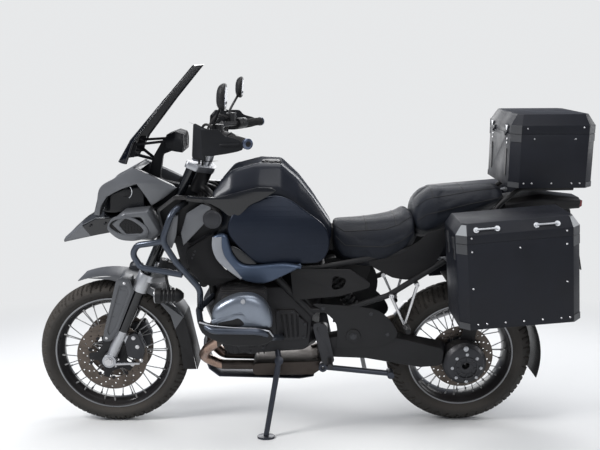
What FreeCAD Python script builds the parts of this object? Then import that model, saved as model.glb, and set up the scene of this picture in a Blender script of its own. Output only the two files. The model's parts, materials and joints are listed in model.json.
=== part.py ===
import FreeCAD, Part
import math
import os
from FreeCAD import Placement, Rotation, Vector

# Adventure motorcycle, parked on its side stand.
# Every piece is drawn on the upright machine: X forward from the rear axle, Y to the rider's left,
# Z up from the ground. One common placement then leans the machine onto its stand.

doc = FreeCAD.newDocument("AdventureMotorcycle")
sheet = doc.addObject("Spreadsheet::Sheet", "Sizes")

SIZES = (
    # name, millimetres or degrees, what it is
    ("lean", 11.0, "lean to the left on the side stand, degrees"),
    ("wheelbase", 1510.0, "between the axles"),
    ("rake", 24.5, "steering axis from the vertical, degrees"),
    ("fork_offset", 50.4, "front axle ahead of the steering axis"),
    ("front_radius", 325.3, "front tyre, outside radius"),
    ("front_tyre_wide", 120.0, "front tyre, width"),
    ("front_crown", 62.0, "front tyre, radius of the tread across"),
    ("front_bead", 255.0, "front rim, lip radius"),
    ("front_rim_wide", 84.0, "front rim, width over the lips"),
    ("rear_radius", 317.9, "rear tyre, outside radius"),
    ("rear_tyre_wide", 170.0, "rear tyre, width"),
    ("rear_crown", 90.0, "rear tyre, radius of the tread across"),
    ("rear_bead", 230.0, "rear rim, lip radius"),
    ("rear_rim_wide", 124.0, "rear rim, width over the lips"),
    ("rim_deep", 26.0, "rim, depth from lip to well"),
    ("spoke_thick", 4.5, "spoke, diameter"),
    ("front_disc_radius", 152.5, "front brake disc, radius"),
    ("rear_disc_radius", 138.0, "rear brake disc, radius"),
    ("disc_thick", 4.5, "brake disc, thickness"),
    ("front_disc_at", 68.0, "front brake discs, from the middle plane"),
    ("rear_disc_at", 74.0, "rear brake disc, from the middle plane"),
    ("leg_apart", 210.0, "between the fork legs"),
    ("slider_thick", 50.0, "fork slider, diameter"),
    ("stanchion_thick", 37.0, "fork tube, diameter"),
    ("slider_long", 400.0, "axle to the top of the slider, along the fork"),
    ("fork_long", 925.0, "axle to the top of the fork tubes, along the fork"),
    ("axle_thick", 25.0, "front axle, diameter"),
    ("axle_bore", 17.0, "hole through the front axle, diameter"),
    ("handlebar_half", 455.0, "middle plane to the end of the bar"),
    ("bar_thick", 22.0, "handlebar, diameter at the grips"),
    ("grip_thick", 34.0, "grip, diameter"),
    ("guard_tube", 25.0, "crash bar tube, diameter"),
    ("frame_tube", 30.0, "frame tube, diameter"),
    ("rear_tube", 24.0, "rear frame tube, diameter"),
    ("rack_tube", 18.0, "luggage rack tube, diameter"),
    ("header_tube", 42.0, "exhaust header, diameter"),
    ("cylinder_out", 300.0, "middle plane to the end of the cylinder head"),
    ("cover_out", 352.0, "middle plane to the outside of the head cover"),
    ("pannier_inner", 232.0, "middle plane to the inner wall of a pannier"),
    ("left_deep", 248.0, "left pannier, depth across the machine"),
    ("right_deep", 190.0, "right pannier, depth across the machine"),
    ("pannier_long", 452.0, "pannier, length"),
    ("pannier_tall", 330.0, "pannier, height of the body"),
    ("pannier_lid", 72.0, "pannier lid, height"),
    ("pannier_pitch", 4.7, "pannier, nose down, degrees"),
    ("case_wall", 2.0, "luggage case, sheet thickness"),
    ("case_corner", 34.0, "luggage case, chamfered corner"),
    ("case_gap", 0.3, "luggage case, gap between lid and body"),
    ("top_long", 330.0, "top case, length"),
    ("top_wide", 390.0, "top case, width"),
    ("top_tall", 212.0, "top case, height of the body"),
    ("top_lid", 76.0, "top case lid, height"),
    ("screen_thick", 4.0, "windscreen, thickness"),
    ("panel_thick", 3.0, "body panel, wall thickness"),
    ("fender_wide", 144.0, "front fender blade, width"),
    ("hugger_wide", 184.0, "rear splash guard, width"),
    ("stand_out", 292.0, "side stand foot, from the middle plane"),
    ("stand_foot_x", 838.0, "side stand foot, ahead of the rear axle"),
    ("clearance", 5.0, "moving pieces to their neighbours"),
    ("running", 0.3, "running gap at a pivot"),
)

for row, (name, value, meaning) in enumerate(SIZES, start=1):
    sheet.set("A%d" % row, meaning)
    sheet.set("B%d" % row, str(value))
    sheet.setAlias("B%d" % row, name)
doc.recompute()
S = {name: float(sheet.get(name)) for name, value, meaning in SIZES}

LEAN = math.radians(S["lean"])
RAKE = math.radians(S["rake"])
FRONT_X = S["wheelbase"]
FRONT_Z = S["front_radius"] - S["front_crown"] + S["front_crown"] / math.cos(LEAN)
REAR_Z = S["rear_radius"] - S["rear_crown"] + S["rear_crown"] / math.cos(LEAN)
FORK_UP = Vector(-math.sin(RAKE), 0, math.cos(RAKE))
FORK_AHEAD = Vector(math.cos(RAKE), 0, math.sin(RAKE))
LEG_Y = S["leg_apart"] / 2
nodes = []


def fork_point(up, across, ahead=0.0):
    """Point given along the fork: up from the front axle, across, and ahead of the fork legs."""
    return Vector(FRONT_X, across, FRONT_Z) + FORK_UP * up + FORK_AHEAD * ahead


def steering_point(up, across=0.0, ahead=0.0):
    """Point given from the steering axis, which runs behind the fork legs."""
    return fork_point(up, across, ahead - S["fork_offset"])


def bind(thing, prop, formula):
    """Tie one property to the sheet; names in the formula are the sheet's own."""
    words = formula.split()
    thing.setExpression(prop, " ".join("Sizes." + w if w in S else w for w in words))


def rounded(points):
    """Closed outline of lines and arcs; a point's third number is its corner radius."""
    edges = []
    count = len(points)
    corners = []
    for i in range(count):
        here = Vector(points[i][0], points[i][1], 0)
        radius = points[i][2] if len(points[i]) > 2 else 0
        before = Vector(points[i - 1][0], points[i - 1][1], 0)
        after = Vector(points[(i + 1) % count][0], points[(i + 1) % count][1], 0)
        if radius <= 0:
            corners.append((here, None, here))
            continue
        back = (before - here).normalize()
        on = (after - here).normalize()
        half = back.getAngle(on) / 2
        reach = radius / math.tan(half)
        middle = (back + on).normalize()
        centre = here + middle * (radius / math.sin(half))
        corners.append((here + back * reach, centre - middle * radius, here + on * reach))
    for i in range(count):
        start, middle, end = corners[i]
        if middle is not None:
            edges.append(Part.Arc(start, middle, end))
        following = corners[(i + 1) % count][0]
        if (following - end).Length > 1e-6:
            edges.append(Part.LineSegment(end, following))
    return edges


def draw(part, role, offset, edges):
    """Sketch of closed edges on one of the body's own planes, moved along its normal."""
    sketch = part.newObject("Sketcher::SketchObject", part.Name + "Sketch")
    plane = [f for f in part.Origin.OriginFeatures if f.Role == role][0]
    sketch.AttachmentSupport = [(plane, "")]
    sketch.MapMode = "FlatFace"
    sketch.AttachmentOffset = Placement(Vector(0, 0, offset), Rotation())
    sketch.addGeometry(edges, False)
    return sketch


def pad(part, sketch, length):
    """Pad a sketch by a length."""
    feature = part.newObject("PartDesign::Pad", part.Name + "Pad")
    feature.Profile = sketch
    feature.Length = length
    return feature


def pad_middle(part, edges, width):
    """Pad a side outline over both sides of the middle plane, by a width that stays tied to the sheet."""
    sketch = draw(part, "XZ_Plane", 0, edges)
    bind(sketch, "AttachmentOffset.Base.z", "0 - %s / 2" % width)
    bind(pad(part, sketch, S[width]), "Length", width)


def prism(name, outline, y_low, y_high):
    """Body from a side outline of (x, z, radius), between two planes square to Y."""
    part = doc.addObject("PartDesign::Body", name)
    sketch = draw(part, "XZ_Plane", -y_high, rounded(outline))
    pad(part, sketch, y_high - y_low)
    return part


def plan(name, outline, z_low, height):
    """Body from an outline seen from above, padded upwards."""
    part = doc.addObject("PartDesign::Body", name)
    pad(part, draw(part, "XY_Plane", z_low, rounded(outline)), height)
    return part


def turned(name, outline):
    """Body turned about the Y axis from (y, radius) points."""
    part = doc.addObject("PartDesign::Body", name)
    sketch = draw(part, "YZ_Plane", 0, rounded(outline))
    feature = part.newObject("PartDesign::Revolution", name + "Turn")
    feature.Profile = sketch
    feature.ReferenceAxis = (sketch, ["H_Axis"])
    feature.Angle = 360.0
    return part


def loft(name, role, stations, ruled=True):
    """Body lofted through outlines at distances along the plane's normal."""
    part = doc.addObject("PartDesign::Body", name)
    sketches = [draw(part, role, where, rounded(outline)) for where, outline in stations]
    feature = part.newObject("PartDesign::AdditiveLoft", name + "Loft")
    feature.Profile = sketches[0]
    feature.Sections = sketches[1:]
    feature.Ruled = ruled
    return part


def loft_across(name, stations, ruled=True):
    """Loft through side outlines; each station is (y, outline of x, z)."""
    return loft(name, "XZ_Plane", [(-y, outline) for y, outline in stations], ruled)


def loft_along(name, stations, ruled=True):
    """Loft through cross outlines, whole from one half; each station is (x, half of y, z)."""
    whole = []
    for x, half in stations:
        other = [(-p[0],) + tuple(p[1:]) for p in reversed(half)]
        whole.append((x, list(half) + other))
    return loft(name, "YZ_Plane", whole, ruled)


def tube(name, points, diameter, bend=60.0):
    """Round bar along straight runs joined by tangent arcs."""
    points = [Vector(*p) for p in points]
    edges = []
    start = points[0]
    for i in range(1, len(points) - 1):
        back = (points[i - 1] - points[i])
        on = (points[i + 1] - points[i])
        half = back.getAngle(on) / 2
        reach = min(bend / math.tan(half), 0.48 * back.Length, 0.48 * on.Length)
        radius = reach * math.tan(half)
        back.normalize()
        on.normalize()
        middle = (back + on).normalize()
        centre = points[i] + middle * (radius / math.sin(half))
        first = points[i] + back * reach
        last = points[i] + on * reach
        edges.append(Part.LineSegment(start, first).toShape())
        edges.append(Part.Arc(first, centre - middle * radius, last).toShape())
        start = last
    edges.append(Part.LineSegment(start, points[-1]).toShape())
    path = Part.Wire(edges)
    ring = Part.Wire(Part.makeCircle(diameter / 2, points[0], points[1] - points[0]))
    piece = doc.addObject("Part::Feature", name)
    piece.Shape = path.makePipeShell([ring], True, False)
    return piece


def rod(name, start, end, diameter):
    """Straight round bar between two points."""
    start = Vector(*start)
    end = Vector(*end)
    piece = doc.addObject("Part::Cylinder", name)
    piece.Radius = diameter / 2
    piece.Height = (end - start).Length
    piece.Placement = Placement(start, Rotation(Vector(0, 0, 1), end - start))
    return piece


def cone(name, start, end, first, last):
    """Straight tapered bar between two points, by its two diameters."""
    start = Vector(*start)
    end = Vector(*end)
    piece = doc.addObject("Part::Cone", name)
    piece.Radius1 = first / 2
    piece.Radius2 = last / 2
    piece.Height = (end - start).Length
    piece.Placement = Placement(start, Rotation(Vector(0, 0, 1), end - start))
    return piece


def fused(name, pieces):
    """One solid from pieces that carry each other."""
    piece = doc.addObject("Part::MultiFuse", name)
    piece.Shapes = pieces
    return piece


def together(name, pieces):
    """Pieces of one node that do not touch."""
    piece = doc.addObject("Part::Compound", name)
    piece.Links = pieces
    return piece


def cut(name, piece, *tools):
    """Piece with others taken out of it."""
    result = doc.addObject("Part::Cut", name)
    result.Base = piece
    result.Tool = tools[0] if len(tools) == 1 else together(name + "Tools", list(tools))
    return result


def mirrored(piece):
    """The same piece on the other side of the machine."""
    other = doc.addObject("Part::Mirroring", piece.Name + "Other")
    other.Source = piece
    other.Normal = Vector(0, 1, 0)
    return other


def both(name, piece):
    """A piece and its mirror image as two solids."""
    return together(name, [piece, mirrored(piece)])


def moved(name, piece, placement):
    """A piece carried to its place on the machine."""
    piece_there = doc.addObject("Part::Compound", name)
    piece_there.Links = [piece]
    piece_there.Placement = placement
    return piece_there


LEANED = Placement(Vector(0, 0, 0), Rotation(Vector(1, 0, 0), -S["lean"]))


def node(label, piece):
    """Lean a finished piece onto the stand under its node name; its neighbours use it upright."""
    placed = doc.addObject("Part::Compound", "Node" + str(len(nodes)))
    placed.Links = [piece]
    placed.Label = label
    placed.Placement = LEANED
    nodes.append(placed)
    return piece


FRONT_AXLE = Placement(Vector(FRONT_X, 0, FRONT_Z), Rotation())
REAR_AXLE = Placement(Vector(0, 0, REAR_Z), Rotation())


def tyre(name, radius, wide, crown, bead, rim_wide):
    """Tyre turned from one section of short flats; it stands on the ring at the angle of the lean."""
    half = wide / 2
    centre = radius - crown
    edge = math.asin(0.94 * half / crown)
    tread = [(crown * math.sin(turn), centre + crown * math.cos(turn))
             for turn in (edge, 5 * LEAN, 3 * LEAN, LEAN)]
    shoulder = tread[0][1]
    wall = 14.0
    side = [(rim_wide / 2 - wall, bead), (rim_wide / 2 - 2, bead),
            (half - 1, bead + 0.42 * (shoulder - bead)), (half, bead + 0.74 * (shoulder - bead))]
    inside = [(0.5 * half, radius - 1.25 * wall), (half - wall, bead + 0.55 * (shoulder - bead))]
    outline = inside + side + tread
    return turned(name, outline + [(-y, r) for y, r in reversed(outline)])


def wire_wheel(name, bead, rim_wide, hub_half, hub_radius, pairs):
    """Rim, hub and crossed spokes joined at their ends."""
    half = rim_wide / 2
    deep = S["rim_deep"]
    lip = 5.0
    rim = turned(name + "Rim", [
        (half, bead), (half, bead - 10), (half - 14, bead - 15), (0.3 * half, bead - deep - 5),
        (-0.3 * half, bead - deep - 5), (14 - half, bead - 15), (-half, bead - 10), (-half, bead),
        (lip - half, bead), (lip - half, bead - 7), (-0.3 * half, bead - deep),
        (0.3 * half, bead - deep), (half - lip, bead - 7), (half - lip, bead)])
    hub = turned(name + "Hub", [
        (hub_half, 16), (hub_half, hub_radius), (hub_half - 7, hub_radius),
        (hub_half - 12, 0.62 * hub_radius), (12 - hub_half, 0.62 * hub_radius),
        (7 - hub_half, hub_radius), (-hub_half, hub_radius), (-hub_half, 16)])
    spokes = []
    step = 360.0 / pairs
    inside = hub_radius - 4
    outside = bead - 0.5 * deep - 5.5
    for i in range(pairs):
        for side in (1, -1):
            for turn in (1, -1):
                at_hub = math.radians((i + 0.25 * side) * step + turn * 7)
                at_rim = math.radians((i + 0.25 * side) * step + turn * 24)
                start = (math.sin(at_hub) * inside, side * (hub_half - 3.5), math.cos(at_hub) * inside)
                end = (math.sin(at_rim) * outside, side * (0.3 * half + 5), math.cos(at_rim) * outside)
                spokes.append(rod(name + "Spoke", start, end, S["spoke_thick"]))
    return fused(name, [rim, hub] + spokes)


def disc(name, radius, inner, at, hub):
    """Brake ring on a five-armed carrier, turned and patterned round the axle, with its boss."""
    half = S["disc_thick"] / 2
    ring = turned(name + "Ring", [(at - half, inner), (at - half, radius), (at + half, radius), (at + half, inner)])
    boss = turned(name + "Boss", [(hub, 30), (hub, 64), (at + half, 64), (at + half, 30)])
    arms = []
    for i in range(5):
        arm = prism(name + "Arm", [(-16, 58), (-9, inner + 4), (9, inner + 4), (16, 58)], at - half + 0.4, at + half - 0.4)
        arms.append(moved(name + "ArmPlaced", arm, Placement(Vector(), Rotation(Vector(0, 1, 0), 72.0 * i))))
    return fused(name, [ring, boss] + arms)


def front_wheel():
    rubber = tyre("FrontTyre", S["front_radius"], S["front_tyre_wide"], S["front_crown"],
                  S["front_bead"], S["front_rim_wide"])
    node("front_tyre", moved("FrontTyrePlaced", rubber, FRONT_AXLE))
    wheel = wire_wheel("FrontWheel", S["front_bead"], S["front_rim_wide"], 48.0, 62.0, 10)
    node("front_rim_and_spokes", moved("FrontRimPlaced", wheel, FRONT_AXLE))
    pair = both("FrontDiscPair", disc("FrontDisc", S["front_disc_radius"], 98.0, S["front_disc_at"], 48))
    node("front_discs", moved("FrontDiscsPlaced", pair, FRONT_AXLE))


def rear_wheel():
    rubber = tyre("RearTyre", S["rear_radius"], S["rear_tyre_wide"], S["rear_crown"],
                  S["rear_bead"], S["rear_rim_wide"])
    node("rear_tyre", moved("RearTyrePlaced", rubber, REAR_AXLE))
    wheel = wire_wheel("RearWheel", S["rear_bead"], S["rear_rim_wide"], 52.0, 66.0, 10)
    node("rear_rim_and_spokes", moved("RearRimPlaced", wheel, REAR_AXLE))
    plate = disc("RearDisc", S["rear_disc_radius"], 92.0, S["rear_disc_at"], 52)
    node("rear_disc", moved("RearDiscPlaced", plate, REAR_AXLE))


def fork():
    """Sliders with the calipers' lugs, fork tubes, axle, and the bridge over the wheel."""
    side = LEG_Y
    slider = cone("Slider", fork_point(-6, side), fork_point(S["slider_long"], side),
                  S["slider_thick"] - 6, S["slider_thick"])
    eye = rod("AxleEye", (FRONT_X, side - 24, FRONT_Z), (FRONT_X, side + 24, FRONT_Z), 58.0)
    stanchion = rod("Stanchion", fork_point(S["slider_long"] - 60, side), fork_point(S["fork_long"], side),
                    S["stanchion_thick"])
    caliper_low = S["front_disc_radius"] - 48
    at = math.radians(158)
    mouth = Vector(FRONT_X + caliper_low * math.cos(at), 0, FRONT_Z + caliper_low * math.sin(at))
    slot = S["disc_thick"] / 2 + 1.5
    disc_at = S["front_disc_at"]
    caliper = prism("Caliper", [
        (mouth.x - 40, mouth.z - 50, 12), (mouth.x + 24, mouth.z - 30, 10),
        (mouth.x + 36, mouth.z + 62, 14), (mouth.x - 22, mouth.z + 78, 14),
        (mouth.x - 50, mouth.z + 10, 14)], disc_at - 30, disc_at + 32)
    slit = prism("CaliperSlit", [
        (mouth.x - 60, mouth.z - 70), (mouth.x + 60, mouth.z - 70), (mouth.x + 60, mouth.z + 90),
        (mouth.x - 60, mouth.z + 90)], disc_at - slot, disc_at + slot)
    ring = rod("CaliperRoom", (FRONT_X, disc_at - slot, FRONT_Z), (FRONT_X, disc_at + slot, FRONT_Z),
               2 * S["front_disc_radius"] + 6)
    groove = doc.addObject("Part::Common", "CaliperGroove")
    groove.Base = slit
    groove.Tool = ring
    room = rod("WheelRoom", (FRONT_X, 0, FRONT_Z), (FRONT_X, disc_at - 14, FRONT_Z), 420.0)
    leg = cut("ForkLeg", fused("ForkLegWhole", [slider, eye, stanchion, caliper]), groove, room)
    axle = rod("FrontAxle", (FRONT_X, -side - 10, FRONT_Z), (FRONT_X, side + 10, FRONT_Z), S["axle_thick"])
    bore = rod("AxleBore", (FRONT_X, -side - 40, FRONT_Z), (FRONT_X, side + 40, FRONT_Z), S["axle_bore"])
    node("fork_legs", cut("ForkLegsCut", fused("ForkLegs", [leg, mirrored(leg), axle]), bore))

    top = S["slider_long"]
    sleeve = rod("BridgeSleeve", fork_point(top - 60, side), fork_point(top + 24, side), 66.0)
    yoke = plan("BridgeYoke", [
        (34, side - 8, 18), (10, side + 30, 14), (-34, side + 30, 14), (-84, 40, 20), (-84, -40, 20),
        (-34, -side - 30, 14), (10, -side - 30, 14), (34, -side + 8, 18), (-14, -40, 20), (-14, 40, 20)],
        -4, 28)
    tilt = Placement(fork_point(top, 0), Rotation(Vector(0, 1, 0), -S["rake"]))
    yoke = moved("BridgeYokePlaced", yoke, tilt)
    stud = rod("BridgeStud", steering_point(top + 4), steering_point(top + 84), 16.0)
    bores = [rod("BridgeBore", fork_point(top - 70, y), fork_point(top + 40, y), S["slider_thick"])
             for y in (side, -side)]
    whole = fused("BridgeWhole", [sleeve, mirrored(sleeve), yoke, stud])
    node("fork_bridge", cut("ForkBridgeCut", whole, *bores))

    head = S["fork_long"] - 20
    crown = plan("TopYoke", [
        (26, side - 14, 14), (26, side + 26, 12), (-26, side + 26, 12), (-86, 34, 20), (-86, -34, 20),
        (-26, -side - 26, 12), (26, -side - 26, 12), (26, -side + 14, 14), (-10, -44, 16), (-10, 44, 16)],
        0, 26)
    crown = moved("TopYokePlaced", crown, Placement(fork_point(head, 0), Rotation(Vector(0, 1, 0), -S["rake"])))
    stem = rod("SteeringStem", steering_point(head - 90), steering_point(head + 30), 24.0)
    risers = []
    for y in (48, -48):
        risers.append(tube("Riser", [steering_point(head + 10, y, 4), steering_point(head + 44, y, 2),
                                     (HANDLEBAR[0][0], y, HANDLEBAR[0][2])], 26.0))
    holes = [rod("YokeBore", fork_point(head - 10, y), fork_point(S["fork_long"], y), S["stanchion_thick"])
             for y in (side, -side)]
    bar_hole = rod("BarBore", (HANDLEBAR[0][0], -80, HANDLEBAR[0][2]), (HANDLEBAR[0][0], 80, HANDLEBAR[0][2]),
                   S["bar_thick"] + 6)
    node("top_yoke", cut("TopYokeCut", fused("TopYokeWhole", [crown, stem] + risers), bar_hole, *holes))


HANDLEBAR = [(1050.0, 0, 1246.0), (1050.0, 74, 1246.0), (1034.0, 196, 1300.0),
             (883.0, S["handlebar_half"], 1290.0)]


def handlebar():
    """Tapered bar bent back to the grips, with switch blocks and levers."""
    right = [(x, -y, z) for x, y, z in HANDLEBAR]
    middle = tube("BarMiddle", [right[2], right[1], HANDLEBAR[1], HANDLEBAR[2]], S["bar_thick"] + 6, 50)
    inner, outer = Vector(*HANDLEBAR[2]), Vector(*HANDLEBAR[3])
    run = (outer - inner).normalize()
    grip_start = outer - run * 128
    arm = rod("BarArm", inner, outer, S["bar_thick"])
    ball = doc.addObject("Part::Sphere", "BarBend")
    ball.Radius = S["bar_thick"] / 2 + 3
    ball.Placement.Base = inner
    grip = rod("Grip", grip_start, outer + run * 2, S["grip_thick"])
    end = rod("BarEnd", outer - run * 2, outer + run * 12, S["grip_thick"] + 4)
    block = rod("SwitchBlock", grip_start - run * 62, grip_start + run * 2, 46.0)
    perch = grip_start - run * 40 + Vector(22, 0, 4)
    lever = tube("Lever", [perch, perch + Vector(34, 24, 6), outer + Vector(66, -2, 14)], 13.0, 30)
    clamp = rod("LeverPerch", grip_start - run * 40, perch + Vector(8, 2, 2), 24.0)
    reservoir = rod("Reservoir", perch + Vector(12, -24, 6), perch + Vector(12, -24, 44), 46.0)
    left = fused("BarLeft", [arm, ball, grip, end, block, lever, clamp, reservoir])
    return node("handlebar", fused("Handlebar", [middle, left, mirrored(left)]))


def hand_guards(bar):
    """Wind shields ahead of the grips, held on the bar ends."""
    y = S["handlebar_half"]
    shell = loft_across("HandShell", [
        (250.0, [(1098, 1262, 8), (1086, 1262, 4), (1080, 1338, 4), (1092, 1340, 8)]),
        (350.0, [(1094, 1222, 12), (1085, 1222, 4), (1074, 1352, 4), (1084, 1356, 8)]),
        (y - 8, [(1040, 1226, 12), (1031, 1226, 4), (1022, 1340, 4), (1031, 1344, 8)])])
    stay = tube("HandStay", [(1034, y - 30, 1288), (970, y + 24, 1288), (906, y + 24, 1289)], 12.0, 26)
    whole = cut("HandGuardCut", fused("HandGuard", [shell, stay]), bar)
    node("hand_guards", both("HandGuards", whole))


def mirrors(bar):
    """Round-cornered heads on bent stems."""
    head = loft_across("MirrorHead", [
        (352.0, [(978, 1428, 20), (962, 1428, 4), (958, 1478, 4), (974, 1480, 20)]),
        (402.0, [(990, 1402, 24), (962, 1402, 4), (955, 1500, 4), (976, 1504, 24)]),
        (468.0, [(980, 1418, 20), (962, 1418, 4), (957, 1488, 4), (974, 1490, 20)])])
    stem = tube("MirrorStem", [(1016, 300, 1314), (1004, 322, 1356), (975, 398, 1420)], 11.0, 22)
    node("mirrors", both("Mirrors", cut("MirrorCut", fused("Mirror", [head, stem]), bar)))


def front_fender():
    """Arched blade over the wheel with side plates to the legs and a long flap behind."""
    centre = Vector(FRONT_X, 0, FRONT_Z)
    inner = S["front_radius"] + 36
    outer = inner + S["panel_thick"] + 1
    start, finish = math.radians(70), math.radians(152)
    half = 0.5 * (start + finish)

    def spot(radius, angle):
        return Vector(centre.x + radius * math.cos(angle), centre.z + radius * math.sin(angle), 0)

    part = doc.addObject("PartDesign::Body", "FenderBlade")
    low = centre.z - 62
    drop = 46.0
    arch = [Part.Arc(spot(outer, start), spot(outer, half), spot(outer, finish)),
            Part.LineSegment(spot(outer, finish), Vector(spot(outer, finish).x - drop, low, 0)),
            Part.LineSegment(Vector(spot(outer, finish).x - drop, low, 0),
                             Vector(spot(inner, finish).x - drop, low, 0)),
            Part.LineSegment(Vector(spot(inner, finish).x - drop, low, 0), spot(inner, finish)),
            Part.Arc(spot(inner, finish), spot(inner, half), spot(inner, start)),
            Part.LineSegment(spot(inner, start), spot(outer, start))]
    pad_middle(part, arch, "fender_wide")
    arch_side = [tuple(spot(inner + 2, math.radians(a)))[:2] for a in (76, 96, 114, 133, 152)]
    skirt = prism("FenderSkirt", arch_side + [
        (spot(inner, finish).x - drop + 2, low), (spot(inner, finish).x - drop + 58, low), (1214, 380), (1250, 512),
        (1316, 596), (1400, 640), (1500, 672)], 68.0, 72.0)
    plate = prism("FenderPlate", [
        (1454, 700, 20), (1400, 690, 10), (1386, 640, 14), (1458, 470, 20), (1496, 420, 14),
        (1530, 420, 10), (1520, 470, 20)], LEG_Y + S["slider_thick"] / 2 + 1.5, LEG_Y + S["slider_thick"] / 2 + 5)
    stay = prism("FenderStay", [
        (1452, 700, 16), (1400, 692, 10), (1400, 660, 10), (1446, 660, 10)], 60.0,
        LEG_Y + S["slider_thick"] / 2 + 3)
    pairs = [plate, mirrored(plate), stay, mirrored(stay), skirt, mirrored(skirt)]
    whole = fused("FrontFenderWhole", [part] + pairs)
    legs = [rod("FenderRoom", fork_point(200, y), fork_point(S["slider_long"] + 30, y), S["slider_thick"] + 1)
            for y in (LEG_Y, -LEG_Y)]
    node("front_fender", cut("FrontFender", whole, *legs))


def engine():
    """Crankcase and gearbox as one block, with a finned cylinder and head on each side."""
    case = loft_across("EngineCase", [
        (-135.0, [(1075, 560, 30), (1020, 640, 30), (700, 660, 30), (640, 560, 30), (660, 380, 40),
                  (1010, 360, 50)]),
        (0.0, [(1120, 560, 40), (1050, 690, 40), (700, 700, 30), (600, 600, 30), (620, 350, 40),
               (1030, 320, 60)]),
        (135.0, [(1075, 560, 30), (1020, 640, 30), (700, 660, 30), (640, 560, 30), (660, 380, 40),
                 (1010, 360, 50)])])
    covers = []
    for y, thick, wide in ((130.0, 18.0, 150.0), (146.0, 8.0, 84.0)):
        covers.append(rod("CrankCover", (900, y, 440), (900, y + thick, 440), wide))
    covers.append(prism("GearCover", [
        (800, 560, 20), (720, 560, 16), (664, 500, 16), (668, 430, 16), (790, 420, 16)], 130.0, 146.0))
    for i in range(4):
        covers.append(prism("CoverRib", [(776 - 22 * i, 540), (770 - 22 * i, 540), (756 - 18 * i, 440),
                                         (762 - 18 * i, 440)], 140.0, 150.0))
    block = node("engine_block", fused("EngineWhole", [case] + covers + [mirrored(c) for c in covers]))
    cx, cz = 928.0, 600.0
    out = S["cylinder_out"]
    barrel = prism("Barrel", [
        (cx + 84, cz - 70, 24), (cx + 84, cz + 62, 24), (cx - 84, cz + 62, 24), (cx - 84, cz - 70, 24)],
        60.0, out)
    fins = []
    for i in range(5):
        y = 158.0 + i * 22
        fins.append(prism("Fin", [
            (cx + 98, cz - 78, 20), (cx + 98, cz + 72, 20), (cx - 98, cz + 72, 20), (cx - 98, cz - 78, 20)],
            y, y + 6))
    half = fused("CylinderSide", [barrel] + fins)
    half = cut("CylinderSeated", half, block)
    node("cylinders", both("Cylinders", half))
    cover = loft_across("CoverSide", [
        (out, [(1044, 588, 24), (1026, 642, 20), (930, 688, 30), (864, 684, 20), (812, 640, 20),
               (806, 549, 20), (1036, 540, 20)]),
        (S["cover_out"] - 16, [(1038, 588, 24), (1020, 636, 20), (930, 680, 30), (866, 676, 20),
                               (820, 636, 20), (814, 555, 20), (1028, 546, 20)]),
        (S["cover_out"], [(1010, 588, 20), (996, 620, 16), (930, 652, 20), (880, 650, 14),
                          (846, 622, 14), (842, 577, 14), (1002, 570, 14)])])
    node("head_covers", both("HeadCovers", cover))
    return block


def exhaust(cylinders):
    """A header under each cylinder, both into one collector, and a tailpipe to the silencer."""
    thick = S["header_tube"]
    left = tube("LeftHeader", [(996, 240, 536), (1002, 236, 480), (1084, 170, 400), (1116, 96, 334),
                               (1040, 60, 282), (880, 56, 278)], thick, 60)
    box = prism("Collector", [
        (900, 250, 20), (900, 304, 20), (640, 312, 30), (600, 318, 20), (600, 280, 20), (640, 252, 20)],
        -112.0, 106.0)
    start, end = Vector(250, -172, 404), Vector(-215, -180, 566)
    tail = tube("TailPipe", [(640, -60, 296), (540, -92, 322), (400, -150, 356), tuple(start)], thick + 6, 60)
    whole = fused("ExhaustWhole", [left, mirrored(left), box, tail])
    node("exhaust_pipes", cut("ExhaustPipes", whole, cylinders))
    run = (end - start).normalize()
    body = cone("SilencerBody", start + run * 60, end, 124, 118)
    nose = cone("SilencerNose", start - run * 4, start + run * 60, thick + 14, 124)
    tip = cone("SilencerTip", end, end + run * 36, 104, 84)
    hole = rod("SilencerHole", end - run * 60, end + run * 60, 54)
    node("silencer", cut("Silencer", fused("SilencerWhole", [nose, body, tip]), hole, whole))


def frame_tubes(block, engine_parts):
    """Front frame from the steering head to the engine, and the rear frame under the seat."""
    head_low = S["fork_long"] - 120
    head_high = S["fork_long"] - 20 - S["clearance"]
    head = rod("SteeringHead", steering_point(head_low), steering_point(head_high), 62.0)
    bore = rod("HeadBore", steering_point(head_low - 5), steering_point(head_high + 5), 24.0 + 2 * S["running"])
    low = steering_point(head_low + 30)
    pieces = [head]
    side = []
    side.append(tube("MainTube", [(low.x - 6, 10, low.z), (low.x - 60, 70, low.z - 30), (960, 140, 850),
                                  (790, 150, 700), (640, 146, 540)], S["frame_tube"], 90))
    side.append(tube("DownTube", [(low.x - 10, 12, low.z - 30), (1090, 62, 880), (1060, 84, 600)],
                     S["frame_tube"], 80))
    side.append(tube("SeatRail", [(820, 149, 727), (600, 140, 742), (300, 132, 800), (-40, 118, 912),
                                  (-210, 100, 936)], S["rear_tube"], 160))
    side.append(tube("LowerRail", [(664, 146, 560), (520, 150, 560), (330, 150, 622), (40, 128, 800),
                                   (-70, 118, 916)], S["rear_tube"], 120))
    ties = [rod("FrameTie", (x, -y, z), (x, y, z), 22.0)
            for x, y, z in ((800, 150, 708), (600, 140, 742), (300, 132, 800), (-40, 118, 912), (-206, 100, 934))]
    pieces += side + [mirrored(piece) for piece in side] + ties
    whole = fused("FrameWhole", pieces)
    return node("frame_tubes", cut("FrameTubes", whole, bore, *engine_parts))


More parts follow.
